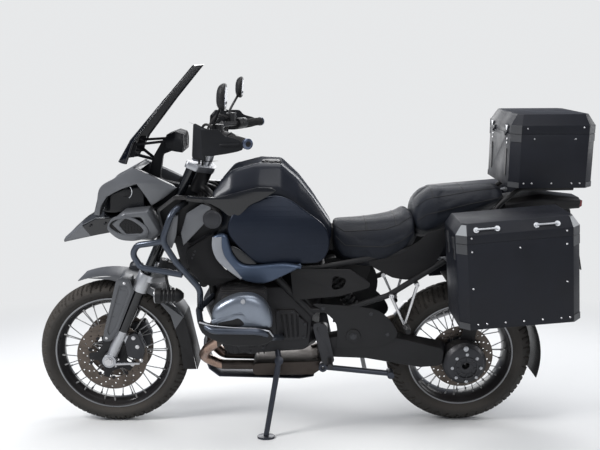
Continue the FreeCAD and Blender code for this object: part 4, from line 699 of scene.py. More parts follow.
LENS_X = 1500.0
LENS_CUT = (Vector((LENS_X, 0, 0)), Vector((1, 0, 0)))
fair_copy("headlight", "headlight_body", lamp_dark, 4.0, keep=lambda c: c.x < LENS_X,
          cuts=(LENS_CUT,))
fair_copy("headlight", "headlight_lens", clear_cover("lamp_lens", (0.80, 0.83, 0.86, 1), 0.02, 1.25),
          3.0, keep=lambda c: c.x > LENS_X + 0.5, cuts=(LENS_CUT,))


def hoop(bm, centre, across, radius, thick, start=0.0, turn=math.tau, pieces=40):
    """Upright round ring, or part of one, from short bars that meet, in the plane of Z and one direction."""
    centre, across, over = Vector(centre), Vector(across), Vector((0, 0, 1))
    angles = [start + turn * i / pieces for i in range(pieces + 1)]
    chained(bm, [centre + (across * math.cos(angle) + over * math.sin(angle)) * radius for angle in angles],
            thick)


EYE_Y, EYE_Z = 38.0, 1008.0
CRESCENT_X, CRESCENT_Y, CRESCENT_Z = 1409.0, 105.0, 1056.0
bowls, rings, cheeks = drawings(3)
for y in (EYE_Y, -EYE_Y):
    face = Vector((LENS_X - 1, y, EYE_Z))
    bar(bowls, face - Vector((34, 0, 0)), face, 9.0, 27.0, sides=48)
    bar(bowls, face - Vector((16, 0, 0)), face - Vector((2, 0, 0)), 8.0, 8.0, sides=24)
    hoop(rings, face + Vector((2, 0, 0)), (0, 1, 0), 29.0, 2.4)
for side in (1, -1):
    centre = Vector((CRESCENT_X, side * CRESCENT_Y, CRESCENT_Z))
    hoop(rings, centre, (1, 0, 0), 31.0, 2.2, math.radians(35), math.radians(200))
    bar(bowls, centre - Vector((0, side, 0)), centre + Vector((0, side * 0.6, 0)), 22.0, 18.0, sides=48)
made("headlight_reflectors", bowls, CHASSIS, lamp_dark, ("headlight",), 40)
made("headlight_rings", rings, CHASSIS, chrome, ("headlight",), 60)

fair_copy("headlight_cowl", "headlight_cowl_shell", shroud_grey, 2.0,
          keep=lambda c: abs(c.y) < 131.9)
BROW_EDGE = [(1532, 966, 0), (1518, 1010), (1500, 1078), (1440, 1116), (1362, 1158, 0), (1270, 1116),
             (1190, 1076, 0), (1240, 1038), (1296, 1003, 0), (1322, 1048), (1352, 1092, 0), (1420, 1068),
             (1474, 1040, 0), (1500, 1000), (1508, 962, 0)]
for side in (1, -1):
    pierced(cheeks, flowing(BROW_EDGE), [], side * 130.0, 9.0, 3.0)
made("headlight_cowl_faces", cheeks, CHASSIS, shroud_grey, ("headlight_cowl",), 40)

# Intake scoops beside the beak: grey shells with a pale rolled lip under a dark oval mouth, closed inside
# by a mesh over the duct.
MOUTH = [(1456, 930), (1437, 954), (1390, 961), (1349, 943), (1322, 914), (1340, 896), (1380, 894),
         (1420, 902)]
LIP = [(1466, 928), (1440, 966), (1388, 972), (1344, 956), (1310, 930, 0), (1300, 906), (1312, 880, 0),
       (1361, 870), (1418, 876), (1456, 904)]
fair_copy("intake_scoops", "intake_scoop_shells", shroud_grey, 4.0, steps=3)
lips, wells, mesh_bars = drawings(3)
for side in (1, -1):
    pierced(lips, flowing(LIP), [flowing(MOUTH)], side * 186.0, 10.0, 3.0)
    pierced(wells, flowing(MOUTH), [], side * 182.0, 3.0)
    for i in range(9):
        x = 1336 + 12 * i
        bar(mesh_bars, (x, side * 184.5, 903), (x, side * 184.5, 948 + 2.0 * (i - 3)), 0.9, sides=6)
made_all(CHASSIS, "shroud_grey", "intake_scoops", 40, ("intake_scoop_lips", lips, shroud_grey),
         ("intake_scoop_ducts", wells, moulded_black), ("intake_scoop_mesh", mesh_bars, satin_black))

# Shrouds over the radiators: a black carrier with a pale facet, a pale strip ahead of it behind a dark gap, a
# bare round cap where a badge would sit, and a dark spear of trim above that runs up along the tank.
FACET = [(1142, 988, 0), (1081, 1026, 0), (1045, 1012), (1059, 983), (1063, 958), (1159, 857, 0),
         (1167, 909, 0)]
STRIP = [(1206, 972, 0), (1174, 984, 0), (1186, 900), (1206, 846, 0), (1236, 870, 0), (1222, 920)]
SPEAR = [(1143, 1057, 0), (1030, 1049), (941, 1070), (860, 1090, 0), (804, 1088), (785, 1075, 0),
         (845, 1039), (890, 1018), (919, 990), (943, 971), (980, 977, 0), (1008, 1000), (1047, 1023, 0),
         (1144, 1036, 0)]
fair_copy("tank_shrouds", "tank_shroud_carriers", satin_black, 3.0, steps=3,
          keep=lambda c: abs(c.y) < 221.9)
BADGE_X, BADGE_Z = 1040.0, 965.0
facets, spears, caps = drawings(3)
for side in (1, -1):
    pierced(facets, flowing(FACET), [], side * 217.0, 14.0, 4.0)
    pierced(facets, flowing(STRIP), [], side * 217.0, 12.0, 3.0)
    pierced(spears, flowing(SPEAR), [], side * 203.0, 24.0, 5.0)
    for y, out, low, high in ((222.0, 227.0, 39.0, 37.0), (226.9, 228.6, 31.0, 28.0)):
        bar(caps, (BADGE_X, side * y, BADGE_Z), (BADGE_X, side * out, BADGE_Z), low, high, sides=72)
made_all(CHASSIS, "shroud_grey", "tank_shrouds", 40, ("tank_shroud_facets", facets, shroud_grey),
         ("tank_shroud_spears", spears, gloss_black), ("tank_shroud_caps", caps, caliper_dark))

# Lower wings: a grey moulding that sweeps down and back from the badge place in one curve, its outer edge
# turned, with a glossy dark insert where it meets the side panel.
WING = [(1042, 893, 0), (1044, 850), (1026, 800), (982, 756), (934, 718), (845, 699), (757, 733),
        (686, 770, 0), (757, 781), (872, 773), (925, 779), (960, 816), (975, 860), (984, 894), (1000, 904),
        (1020, 903)]
INSERT = [(980, 850), (950, 850), (912, 822), (868, 777), (926, 777), (962, 812)]
WING_BAND = [(1042, 893, 0), (1044, 850), (1026, 800), (982, 756), (934, 718, 0), (925, 724, 0),
             (962, 770), (992, 812), (1004, 850), (1004, 895, 0)]
wing_paint = coating("wing_grey", (0.05, 0.07, 0.11), 0.32, metallic=0.6, grain=2200.0, relief=0.03,
                     vary=0.08)
band_silver = coating("band_silver", (0.24, 0.25, 0.27), 0.36, metallic=0.5, grain=2200.0, relief=0.03,
                      vary=0.08)
wings, bands, inserts = drawings(3)
for side in (1, -1):
    pierced(wings, flowing(WING), [], side * 213.0, 34.0, 9.0)
    pierced(inserts, flowing(INSERT), [], side * 204.0, 20.0, 5.0)
    pierced(bands, flowing(WING_BAND), [], side * 228.0, 7.0, 2.5)
made_all(CHASSIS, "shroud_grey", "lower_wings", 50, ("lower_wing_shells", wings, wing_paint),
         ("lower_wing_bands", bands, band_silver), ("lower_wing_inserts", inserts, gloss_black))

# Tank: glossy black and crowned, its flush cap ringed by bolts. Beside it crowned matt black panels that lean
# in at the top, flowing from the shroud to the seat.
tank_paint = coating("tank_paint", (0.003, 0.005, 0.011), 0.42, metallic=0.2, grain=3000.0, relief=0.006,
                     vary=0.1, gloss=0.12, shine=0.35)
panel_matt = coating("panel_matt", (0.010, 0.014, 0.024), 0.34, metallic=0.5, grain=2600.0, vary=0.1,
                     shine=0.3)


VOXEL = 0.006


def even_skin(piece, rounds):
    """Turn a shell into an even skin of small faces, its edges rounded by some rounds of smoothing."""
    skin = piece.modifiers.new("skin", "REMESH")
    skin.mode = "VOXEL"
    skin.voxel_size = VOXEL
    flow = piece.modifiers.new("flow", "SMOOTH")
    flow.factor = 0.5
    flow.iterations = rounds
    finish = piece.data.materials[0]
    even = bpy.data.meshes.new_from_object(piece.evaluated_get(bpy.context.evaluated_depsgraph_get()))
    piece.modifiers.clear()
    piece.data = even
    even.materials.clear()
    even.materials.append(finish)
    even.shade_smooth()
    return even


tank = fair_copy("fuel_tank", "fuel_tank_shell", tank_paint, 0.0)
even_skin(tank, 22)
CAP_X, CAP_TOP = 811.5, 1167.0
cap, panels = drawings(2)
bar(cap, (CAP_X, 0, CAP_TOP - 9), (CAP_X - 0.2, 0, CAP_TOP + 0.5), 43.0, 41.0, sides=72)
bar(cap, (CAP_X - 0.2, 0, CAP_TOP + 0.4), (CAP_X - 0.3, 0, CAP_TOP + 2.5), 30.0, 28.0, sides=64)
for x, y in ring_of(36.0, 6):
    bolt(cap, (CAP_X + x, y, CAP_TOP), (0, 0, 1), 3.2, 2.0)
made("fuel_tank_cap", cap, CHASSIS, satin_black, ("fuel_tank",), 40)
PANEL = [(984, 950), (950, 1006), (880, 1034), (800, 1052), (740, 1036), (670, 984), (606, 932), (582, 880),
         (588, 820), (622, 778), (700, 774), (800, 776), (870, 780), (920, 822), (964, 870), (986, 908)]
PANEL_LEAN = (Matrix.Translation((999, 192, 0)) @ Matrix.Rotation(math.radians(3.6), 4, "Z")
              @ Matrix.Translation((-1004, 0, 0)))
PANEL_THICK, PANEL_CROWN = 22.0, 9.0
CROWN_Z, CROWN_REACH, LEAN_IN_Z = 890.0, 165.0, 960.0
for side in (1, -1):
    one = bmesh.new()
    pierced(one, flowing(PANEL), [], PANEL_THICK / 2, PANEL_THICK, 7.0)
    for height in range(790, 1050, 20):
        bmesh.ops.bisect_plane(one, geom=one.verts[:] + one.edges[:] + one.faces[:], dist=0.01,
                               plane_co=(0, 0, height), plane_no=(0, 0, 1))
    for vert in one.verts:
        if vert.co.y > PANEL_THICK / 2:
            crown = PANEL_CROWN * (1 - ((vert.co.z - CROWN_Z) / CROWN_REACH) ** 2)
            vert.co.y += crown - 0.1 * max(0.0, vert.co.z - LEAN_IN_Z)
    bmesh.ops.transform(one, matrix=PANEL_LEAN, verts=one.verts)
    bmesh.ops.scale(one, vec=(1, side, 1), verts=one.verts)
    bmesh.ops.recalc_face_normals(one, faces=one.faces)
    copy = bpy.data.meshes.new("one")
    one.to_mesh(copy)
    one.free()
    panels.from_mesh(copy)
    bpy.data.meshes.remove(copy)
made("side_panel_shells", panels, CHASSIS, panel_matt, ("side_panels",), 50)

# Engine: a dark cast crankcase and gearbox, round and stepped covers held by bolts, and a finned cylinder
# each side under a blue-grey cover with its chevron, filler cap and a black guard along its lower edge.
engine_dark = coating("engine_dark", (0.014, 0.015, 0.018), 0.42, metallic=0.4, grain=700.0, relief=0.3,
                      dust=0.2, shine=0.3)
cover_paint = coating("cover_paint", (0.19, 0.215, 0.255), 0.32, metallic=0.8, relief=0.12, dust=0.1)
fair_copy("engine_block", "crankcase", engine_dark, 4.0, steps=3)
fair_copy("cylinders", "finned_cylinders", engine_dark, 0.8)
ROUND_COVER = (900, 440)
bolts, ribs = drawings(2)
for side in (1, -1):
    for x, z in ring_of(66.0, 7, 0.3, ROUND_COVER):
        bolt(bolts, (x, side * 148, z), (0, side, 0), 5.0, 4.5)
    for x, z in ((790, 552), (728, 552), (676, 498), (680, 438), (782, 430)):
        bolt(bolts, (x, side * 146, z), (0, side, 0), 5.0, 4.5)
    for (x0, z0), (x1, z1) in zip(ring_of(20.0, 6, 0.0, ROUND_COVER), ring_of(40.0, 6, 0.0, ROUND_COVER)):
        bar(ribs, (x0, side * 155, z0), (x1, side * 155, z1), 2.4, sides=8)
    for i in range(8):
        bar(ribs, (1006 - 22 * i, side * 133, 392), (1002 - 22 * i, side * 134, 362), 3.0, sides=10)
made_all(CHASSIS, "cast_grey", "engine_block", 40, ("crankcase_bolts", bolts, caliper_dark),
         ("crankcase_ribs", ribs, engine_dark))

COVER = [(1044, 588), (1036, 626), (1006, 656), (948, 684), (882, 686), (832, 656), (808, 604), (806, 556),
         (840, 545), (929, 546), (1024, 552), (1044, 568)]
DOME = ((300, 1.0), (322, 1.0), (334, 0.97), (343, 0.90), (350, 0.78), (353, 0.60))
MIDDLE = Vector((925, 606))
CHEVRON = [(1040, 590), (990, 606), (927, 626), (904, 604), (884, 577), (898, 575), (932, 606),
           (990, 590), (1036, 576)]
CHEVRON_WELL = [(1012, 580), (960, 592), (934, 598), (914, 572), (960, 562), (1010, 562)]
GUARD = [(1092, 586), (1060, 572), (964, 561), (868, 556), (820, 548), (802, 528), (806, 506), (855, 486),
         (967, 487), (1034, 510), (1078, 540)]
GUARD_LIP = [(1088, 586), (1040, 571), (964, 563), (868, 558), (816, 548), (800, 526)]
FILLER_X = 916
covers, chevrons, guards, edges, bolts = drawings(5)
for side in (1, -1):
    outline = flowing(COVER)
    bridged(covers, [[(MIDDLE.x + grow * (x - MIDDLE.x), side * y, MIDDLE.y + grow * (z - MIDDLE.y))
                      for x, z in outline] for y, grow in DOME])
    pierced(chevrons, flowing(CHEVRON), [], side * 349.0, 8.0, 2.0)
    pierced(guards, flowing(CHEVRON_WELL), [], side * 351.0, 5.0, 1.0)
    pierced(guards, flowing(GUARD), [], side * 340.0, 44.0, 8.0)
    chained(edges, [(x, side * 361, z) for x, z in GUARD_LIP], 3.4, 12)
    bar(covers, (FILLER_X, side * 340, 664), (FILLER_X, side * 356, 667), 15.0, 14.0, sides=40)
    bar(edges, (FILLER_X, side * 355.6, 667), (FILLER_X, side * 358, 667.4), 10.0, 8.5, sides=32)
    for x, z in ((1022, 622), (866, 664), (822, 600)):
        bolt(bolts, (x, side * 331, z), (0, side, 0.4), 6.5, 6.0)
made_all(CHASSIS, "cover_grey", "head_covers", 50, ("head_cover_domes", covers, cover_paint),
         ("head_cover_chevrons", chevrons, cover_paint), ("head_cover_guards", guards, satin_black),
         ("head_cover_edges", edges, leg_silver))
made("head_cover_bolts", bolts, CHASSIS, bright_steel, ("head_covers",), 40)

# Exhaust: stainless headers, coloured by heat where they bend in front, into a dark collector under the
# gearbox, and the brushed silencer on the right, held by clamps.
heat_steel = coating("heat_coloured_steel", (0.36, 0.25, 0.20), 0.3, metallic=1.0, grain=220.0, relief=0.1,
                     vary=0.3, patch=16.0, dust=0.25)
sooty_steel = coating("sooty_steel", (0.042, 0.035, 0.032), 0.4, metallic=0.9, grain=220.0, relief=0.2,
                      vary=0.4, patch=14.0, dust=0.3)
brushed_steel = coating("brushed_steel", (0.30, 0.30, 0.31), 0.34, metallic=1.0, grain=500.0, relief=0.12,
                        dust=0.12)
HEAT_END = (Vector((1036, 0, 0)), Vector((1, 0, 0)))
two_tone("exhaust_pipes", HEAT_END, ("exhaust_headers", heat_steel, 0.0),
         ("exhaust_collector", sooty_steel, 2.0))
fair_copy("silencer", "silencer_can", brushed_steel, 2.0)
bands = bmesh.new()
for side in (1, -1):
    for x, y, z, to in ((999, 238, 520, (0.05, 0.02, 1)), (1004, 232, 470, (0.1, -0.3, 1))):
        axis = Vector((to[0], side * to[1], to[2])).normalized()
        bar(bands, Vector((x, side * y, z)) - axis * 5, Vector((x, side * y, z)) + axis * 5, 25.0, sides=40)
CAN_FRONT = Vector((250, -172, 404))
run = (Vector((-215, -180, 566)) - CAN_FRONT).normalized()
for along, radius in ((62, 64.0), (300, 62.0), (470, 61.0)):
    bar(bands, CAN_FRONT + run * (along - 7), CAN_FRONT + run * (along + 7), radius, sides=64)
made("exhaust_clamps", bands, CHASSIS, brushed_steel, ("exhaust_pipes", "silencer"), 40)

# Windscreen: one thermoformed sheet of smoked acrylic with a polished edge, held by four cushioned screws on
# the brackets of the instruments.
screen_smoke = coating("screen_smoke", (0.004, 0.005, 0.008), 0.22, grain=300.0, relief=0.0, shine=0.05)
screen_smoke.node_tree.nodes["Principled BSDF"].inputs["Alpha"].default_value = 0.82
screen_smoke.node_tree.nodes["Principled BSDF"].inputs["IOR"].default_value = 1.01
dash_black = coating("dash_black", (0.005, 0.0055, 0.007), 0.6, grain=1800.0, relief=0.15, shine=0.2)
rim, screws = drawings(2)
sheet = joined_copy("windscreen")
for edge in sheet.edges:
    if len(edge.link_faces) == 2 and edge.calc_face_angle(0) > math.radians(55):
        bar(rim, edge.verts[0].co, edge.verts[1].co, 1.7, sides=6)
sheet.free()
fair_copy("windscreen", "windscreen_sheet", screen_smoke, 0.0)
made("windscreen_edge", rim, CHASSIS, tube_black, ("windscreen",), 60)
for side in (1, -1):
    for x, z in ((1391, 1208), (1370, 1246)):
        bar(screws, (x - 14, side * 96, z - 4), (x + 7, side * 96, z + 4), 9.0, 10.0, sides=20)
        bolt(screws, (x + 6, side * 96, z + 3), (0.93, side * 0.2, 0.34), 5.0, 4.0)
made("windscreen_screws", screws, CHASSIS, caliper_dark, ("windscreen",), 40)

# Instruments: a matt black housing on its bracket, with two round dials and a small display between them that
# face the rider.
fair_copy("instrument_panel", "instrument_housing", dash_black, 2.0)
DIAL_X = 1167
dials, faces = drawings(2)
for side in (1, -1):
    centre = Vector((DIAL_X, side * 50.0, 1254))
    hoop(dials, centre, (0, 1, 0), 30.0, 2.2, pieces=36)
    bar(faces, centre, centre + Vector((2, 0, 0)), 29.0, sides=48)
    for step in range(9):
        angle = math.radians(-30 + 30 * step)
        mark = Vector((0, math.cos(angle), math.sin(angle)))
        near = centre - Vector((0.5, 0, 0))
        bar(dials, near + mark * 23, near + mark * 27, 0.8, sides=6)
bar(faces, (DIAL_X, 0, 1256), (DIAL_X + 2, 0, 1256), 17.0, sides=4)
made_all(CHASSIS, "panel_black", "instrument_panel", 40, ("instrument_rings", dials, caliper_dark),
         ("instrument_faces", faces, dash_black))

# Handlebar: black tapered tube with ribbed rubber grips, switch blocks with their keys, forged levers and
# reservoirs, and a turned weight at each end. Hoses run from the levers down beside the steering head.
end_weight = coating("end_weight", (0.10, 0.12, 0.17), 0.25, metallic=0.9)
grip_rubber = coating("grip_rubber", (0.010, 0.010, 0.011), 0.75, grain=1500.0, relief=0.35, dust=0.1,
                      shine=0.3)


def hose(bm, spots, radius, sides=10, steps=6):
    """Hose or bent rod that runs smoothly through its spots."""
    spots = [Vector(spot) for spot in spots]
    ends = [2 * spots[0] - spots[1]] + spots + [2 * spots[-1] - spots[-2]]
    path = []
    for a, b, c, d in zip(ends, ends[1:], ends[2:], ends[3:]):
        for i in range(steps):
            t = i / steps
            path.append(0.5 * (2 * b + (c - a) * t + (2 * a - 5 * b + 4 * c - d) * t * t
                               + (3 * b - a - 3 * c + d) * t ** 3))
    path.append(spots[-1])
    chained(bm, path, radius, sides)


fair_copy("handlebar", "handlebar_tube", satin_black, 0.6)
BAR_BEND, BAR_END = Vector((1034, 196, 1300)), Vector((883, 455, 1290))
BAR_RUN = (BAR_END - BAR_BEND).normalized()
HOSES = (
    # radius, places from the lever down to the steering head
    (5.0, ((1000, 284, 1318), (1058, 210, 1336), (1092, 130, 1280), (1100, 80, 1200), (1112, 60, 1120))),
    (4.0, ((1014, 250, 1282), (1052, 180, 1252), (1076, 110, 1222), (1092, 74, 1160))),
)
WIND_FLAP = [(1041, 1342, 0), (981, 1342), (957, 1321), (905, 1303), (898, 1270), (1000, 1250),
             (1038, 1250, 0)]
grips, ends, keys, hoses, flaps = drawings(5)
for side in (1, -1):
    mirror = Matrix.Diagonal((1, side, 1, 1))
    for i in range(17):
        spot = BAR_END - BAR_RUN * (124 - 7.2 * i)
        bar(grips, mirror @ spot, mirror @ (spot + BAR_RUN * 4.4), 18.3, sides=28)
    for bm, near, far, low, high, sides in ((ends, 3, 12, 20.0, 20.0, 32), (ends, 12, 14, 20.0, 17.0, 32),
                                            (keys, 13, 15, 10.0, 10.0, 24)):
        bar(bm, mirror @ (BAR_END + BAR_RUN * near), mirror @ (BAR_END + BAR_RUN * far), low, high, sides)
    for along, up, wide in ((160, 0.9, 5.0), (160, -0.5, 4.0), (176, 0.2, 6.0), (142, 0.3, 4.5)):
        out = Vector((-math.cos(up), 0, math.sin(up)))
        spot = BAR_END - BAR_RUN * along
        bar(keys, mirror @ (spot + out * 21), mirror @ (spot + out * 27), wide, 0.8 * wide, sides=12)
    for radius, places in HOSES:
        hose(hoses, [mirror @ Vector(place) for place in places], radius)
    pierced(flaps, flowing(WIND_FLAP), [], side * 478.0, 4.0, 1.2)
made_all(STEERED, "black_metal", "handlebar", 40, ("handlebar_grips", grips, grip_rubber),
         ("handlebar_ends", ends, end_weight), ("handlebar_keys", keys, moulded_black))
made("handlebar_hoses", hoses, STEERED, grip_rubber, ("handlebar",), 60)
fair_copy("hand_guards", "hand_guard_shells", dash_black, 2.0)
made("hand_guard_flaps", flaps, STEERED, dash_black, ("hand_guards",), 40)

# Mirrors: deep round-cornered heads of black plastic with the glass behind, on bent steel stems that rise
# from rubber boots on the bar.
mirror_glass = coating("mirror_glass", (0.06, 0.08, 0.12), 0.3, grain=300.0, relief=0.0, vary=0.1, shine=0.1)
MIRROR_AT = Vector((964, 410, 1452))
heads, glasses, stems = drawings(3)
for side in (1, -1):
    for bm, ahead, behind, flat, half, tall in ((heads, 25.0, 16.0, 8.2, 57.0, 48.0),
                                                (glasses, 0.0, 20.0, 8.6, 47.0, 38.0)):
        for vert in bmesh.ops.create_uvsphere(bm, u_segments=48, v_segments=24, radius=1.0)["verts"]:
            x, y, z = vert.co
            z, y = (math.copysign(abs(value) ** 0.72, value) for value in (z, y))
            depth = x * ahead if x > 0 else max(x * behind, -flat)
            vert.co = Vector((MIRROR_AT.x - 0.06 * tall * z + depth, side * MIRROR_AT.y + y * half,
                              MIRROR_AT.z + z * tall))
    hose(stems, [(1018, side * 299, 1330), (1006, side * 320, 1360), (984, side * 372, 1402),
                 (970, side * 404, 1428)], 5.5, 12)
    bar(stems, (1019, side * 298, 1318), (1014, side * 306, 1342), 13.0, 7.5, sides=24)
    bar(heads, (976, side * 392, 1412), (968, side * 406, 1434), 9.0, 16.0, sides=24)
made_all(STEERED, "panel_black", "mirrors", 60, ("mirror_heads", heads, moulded_black),
         ("mirror_glasses", glasses, mirror_glass))
made("mirror_stems", stems, STEERED, satin_black, ("mirrors",), 40)

# Seats: foam under stretched black vinyl, the rider's scooped and the pillion's a step higher. The covers
# swell between sewn welts that follow both shoulders and cross each seat.
seat_grain = coating("seat_vinyl", (0.006, 0.008, 0.013), 0.5, grain=1100.0, relief=0.5, dust=0.03, shine=0.2)
RIDER = (
    # x, then half width and height of the crown, the shoulder, the side and the foot
    (552, (34, 908), (74, 892), (86, 868), (80, 838)),
    (510, (46, 910), (100, 886), (120, 830), (120, 782)),
    (430, (58, 913), (116, 888), (138, 830), (136, 772)),
    (350, (68, 922), (130, 894), (150, 830), (148, 784)),
    (290, (74, 934), (138, 906), (152, 850), (146, 812)),
    (228, (70, 952), (130, 926), (146, 896), (140, 872)),
)
PILLION = (
    (220, (54, 976), (104, 958), (122, 930), (118, 902)),
    (178, (64, 1036), (112, 1012), (128, 960), (124, 890)),
    (90, (66, 1044), (112, 1022), (124, 980), (120, 925)),
    (0, (62, 1050), (106, 1030), (118, 1000), (114, 962)),
    (-90, (56, 1055), (96, 1036), (110, 1016), (108, 1000)),
    (-144, (44, 1046), (78, 1034), (92, 1028), (92, 1020)),
)


def seat_loop(x, crown, shoulder, side, foot):
    """Section across a seat, both sides alike, closed underneath."""
    half = [(0, crown[1] + 3), crown, shoulder, side, foot]
    return [(x, y, z) for y, z in half] + [(x, -y, z) for y, z in reversed(half[1:])]


COVER_PRESSURE, COVER_FRAMES, SWELL_CAP = 2.5, 20, 0.004


def stuffed(piece):
    """Turn a shell into an even skin and swell it as cloth over foam, no point further than the cap."""
    even = even_skin(piece, 10)
    start = [vert.co.copy() for vert in even.vertices]
    cloth = piece.modifiers.new("cover", "CLOTH")
    cloth.settings.quality = 4
    cloth.settings.use_pressure = True
    cloth.settings.uniform_pressure_force = COVER_PRESSURE
    cloth.settings.effector_weights.gravity = 0.0
    cloth.point_cache.frame_end = COVER_FRAMES
    for step in range(1, COVER_FRAMES + 1):
        scene.frame_set(step)
    swollen = bpy.data.meshes.new_from_object(piece.evaluated_get(bpy.context.evaluated_depsgraph_get()))
    piece.modifiers.clear()
    for vert, old, new in zip(even.vertices, start, swollen.vertices):
        step = new.co - old
        vert.co = old + (step if step.length < SWELL_CAP else step.normalized() * SWELL_CAP)
    bpy.data.meshes.remove(swollen)
    scene.frame_set(1)
    finer = piece.modifiers.new("finer", "SUBSURF")
    finer.levels = finer.render_levels = 1


def between(stations, x):
    """Height of a seat's side at a place along it."""
    for (x1, *_, (_, z1), _), (x2, *_, (_, z2), _) in zip(stations, stations[1:]):
        if x1 >= x >= x2:
            return z1 + (z2 - z1) * (x1 - x) / (x1 - x2)
    return stations[0][3][1] if x > stations[0][0] else stations[-1][3][1]


def welt(bm, tree, rays):
    """Sewn welt along the places where rays from inside meet the cover."""
    path = [tree.ray_cast(Vector(start), Vector(direction).normalized())[0] for start, direction in rays]
    chained(bm, [spot for spot in path if spot], 1.8)


for name, stations, lines in (("rider_seat", RIDER, (420, 300)), ("pillion_seat", PILLION, (150, 20))):
    shell, welts = drawings(2)
    bridged(shell, [seat_loop(*station) for station in stations])
    bmesh.ops.subdivide_edges(shell, edges=shell.edges[:], cuts=3, use_grid_fill=True, smooth=0.6)
    cushion = made(name + "_cover", shell, CHASSIS, seat_grain, (name,), 60)
    stuffed(cushion)
    tree = BVHTree.FromPolygons([upright(vert.co) for vert in cushion.data.vertices],
                                [face.vertices for face in cushion.data.polygons])
    front, back = stations[0][0] - 6, stations[-1][0] + 6
    for side in (1, -1):
        for lift in (0.55, 0.0):
            welt(welts, tree, [((x, 0, between(stations, x)), (0, side, lift))
                               for x in (front + (back - front) * i / 40 for i in range(41))])
    for x in lines:
        welt(welts, tree, [((x, 0, between(stations, x)), (0, math.cos(angle), math.sin(angle)))
                           for angle in (math.radians(29 + 122 * i / 30) for i in range(31))])
    made(name + "_welts", welts, CHASSIS, moulded_black, (name,), 60)

# Luggage: three cases of black powder-coated sheet. The panniers hang on the hoops, with plastic caps on
# their corners, rivets along the seams, two latches in front and bright lashing loops on each lid.
case_paint = coating("case_powder_coat", (0.007, 0.008, 0.012), 0.48, grain=2400.0, relief=0.12, dust=0.01,
                     shine=0.22)
corner_cap = coating("corner_cap", (0.030, 0.032, 0.036), 0.5, grain=1600.0, relief=0.2, dust=0.1)
cap_face = coating("corner_cap_face", (0.16, 0.17, 0.18), 0.45, grain=1600.0, relief=0.1)
LONG, TALL, LID = 452.0, 330.0, 72.0
CHAMFER, SKIRT = 34.0, 32.4
SEAM = TALL + 0.15
RIVETS = ([(x, 20) for x in (162, 129, 60, -8, -77, -146, -179)] + [(175, 301), (0, 303), (-170, 303)]
          + [(175, 160), (-170, 160)])
LID_RIVETS = ((175, 352), (-170, 352))


def corner_plate(bm, at, direction, low, high, rise=2.0, shrink=0.0):
    """Raised cap over a chamfered corner, between two heights, narrowing by a share towards its top."""
    at, direction = Vector(at), Vector(direction)
    outward = Vector((direction.y, -direction.x, 0)).normalized()
    loops = []
    for z, narrow, back in ((low, 0.0, 0.0), (high, shrink, 19.2 * (shrink > 0))):
        half = direction * 0.5 * (1 - narrow)
        base = Vector((at.x, at.y, z)) - outward * back
        loops.append([base - half, base - half + outward * rise, base + half + outward * rise, base + half])
    bridged(bm, loops)


def block(bm, near, far, ends):
    """Block from near to far along X. Each end has its middle, two half widths and its height."""
    bridged(bm, [[(near, y - wide, z), (far, y - slim, z), (far, y + slim, z), (near, y + wide, z)]
                 for y, wide, slim, z in ends])


def rivet_row(bm, places, face, side, low, high):
    """Rivets on the side wall of a case, at places along it and up it."""
    for x, z in places:
        bar(bm, (x, side * (face - 0.5), z), (x, side * (face + 1.6), z), low, high, sides=12)


def case_details(case, matrix, side, on_case, on_lid):
    """Move the drawings onto the machine, mirrored for the right side, and hang them on case and lid."""
    for node, details in ((case, on_case), (case + "_lid", on_lid)):
        for ending, bm, finish in details:
            bmesh.ops.transform(bm, matrix=matrix @ Matrix.Diagonal((1, side, 1, 1)), verts=bm.verts)
            bmesh.ops.recalc_face_normals(bm, faces=bm.faces)
            made(node + ending, bm, frame["nodes"][node]["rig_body"], finish, (node,), 40)


for node in ("left_pannier", "right_pannier", "left_pannier_lid", "right_pannier_lid", "top_case",
             "top_case_lid"):
    fair_copy(node, node + "_sheet", case_paint, 1.2)
for side, deep, name in ((1, 248.0, "left_pannier"), (-1, 190.0, "right_pannier")):
    hung = Matrix.Translation((-131, side * 232.0, 608)) @ Matrix.Rotation(math.radians(4.7), 4, "Y")
    caps, rivets, latches, lid_caps, lid_faces, lid_rivets, loops = drawings(7)
    for end in (1, -1):
        middle = (end * (LONG - CHAMFER) / 2, deep - CHAMFER / 2)
        across = Vector((-end * CHAMFER, CHAMFER, 0)) * end
        corner_plate(caps, middle, across, 292, TALL - 1)
        corner_plate(caps, middle, across, 1, 26)
        corner_plate(lid_caps, middle, across, SEAM + 1, SEAM + SKIRT)
        corner_plate(lid_faces, middle, across, SEAM + SKIRT, TALL + LID - 5, 1.6, 0.55)
    rivet_row(rivets, RIVETS, deep, 1, 4.2, 2.6)
    rivet_row(lid_rivets, LID_RIVETS, deep, 1, 4.2, 2.6)
    for x in (118, -100):
        for y, out in ((deep - 10, Vector((0, 0.855, 0.518))), (10.0, Vector((0, -0.855, 0.518)))):
            feet = [Vector((x + d, y, 379)) for d in (-38, 38)]
            for foot in feet:
                bar(loops, foot, foot + out * 4, 11.0, 10.0, sides=24)
                bar(loops, foot + out * 4, foot + out * 9, 6.0, 5.0, sides=12)
            bar(loops, feet[0] + out * 8, feet[1] + out * 8, 3.6, sides=12)
    for y in (0.28 * deep, 0.72 * deep):
        bar(latches, (LONG / 2, y - 12, 300), (LONG / 2, y + 12, 300), 4.0, sides=12)
        for z0, z1, half, rise in ((262, 322, 13, 4.0), (304, 345, 9, 7.0)):
            block(latches, LONG / 2 + 0.4, LONG / 2 + rise, [(y, half, 0.8 * half, z) for z in (z0, z1)])
    case_details(name, hung, side, (("_caps", caps, corner_cap), ("_rivets", rivets, bright_steel),
                                    ("_latches", latches, caliper_dark)),
                 (("_caps", lid_caps, corner_cap), ("_cap_faces", lid_faces, cap_face),
                  ("_rivets", lid_rivets, bright_steel), ("_loops", loops, leg_silver)))

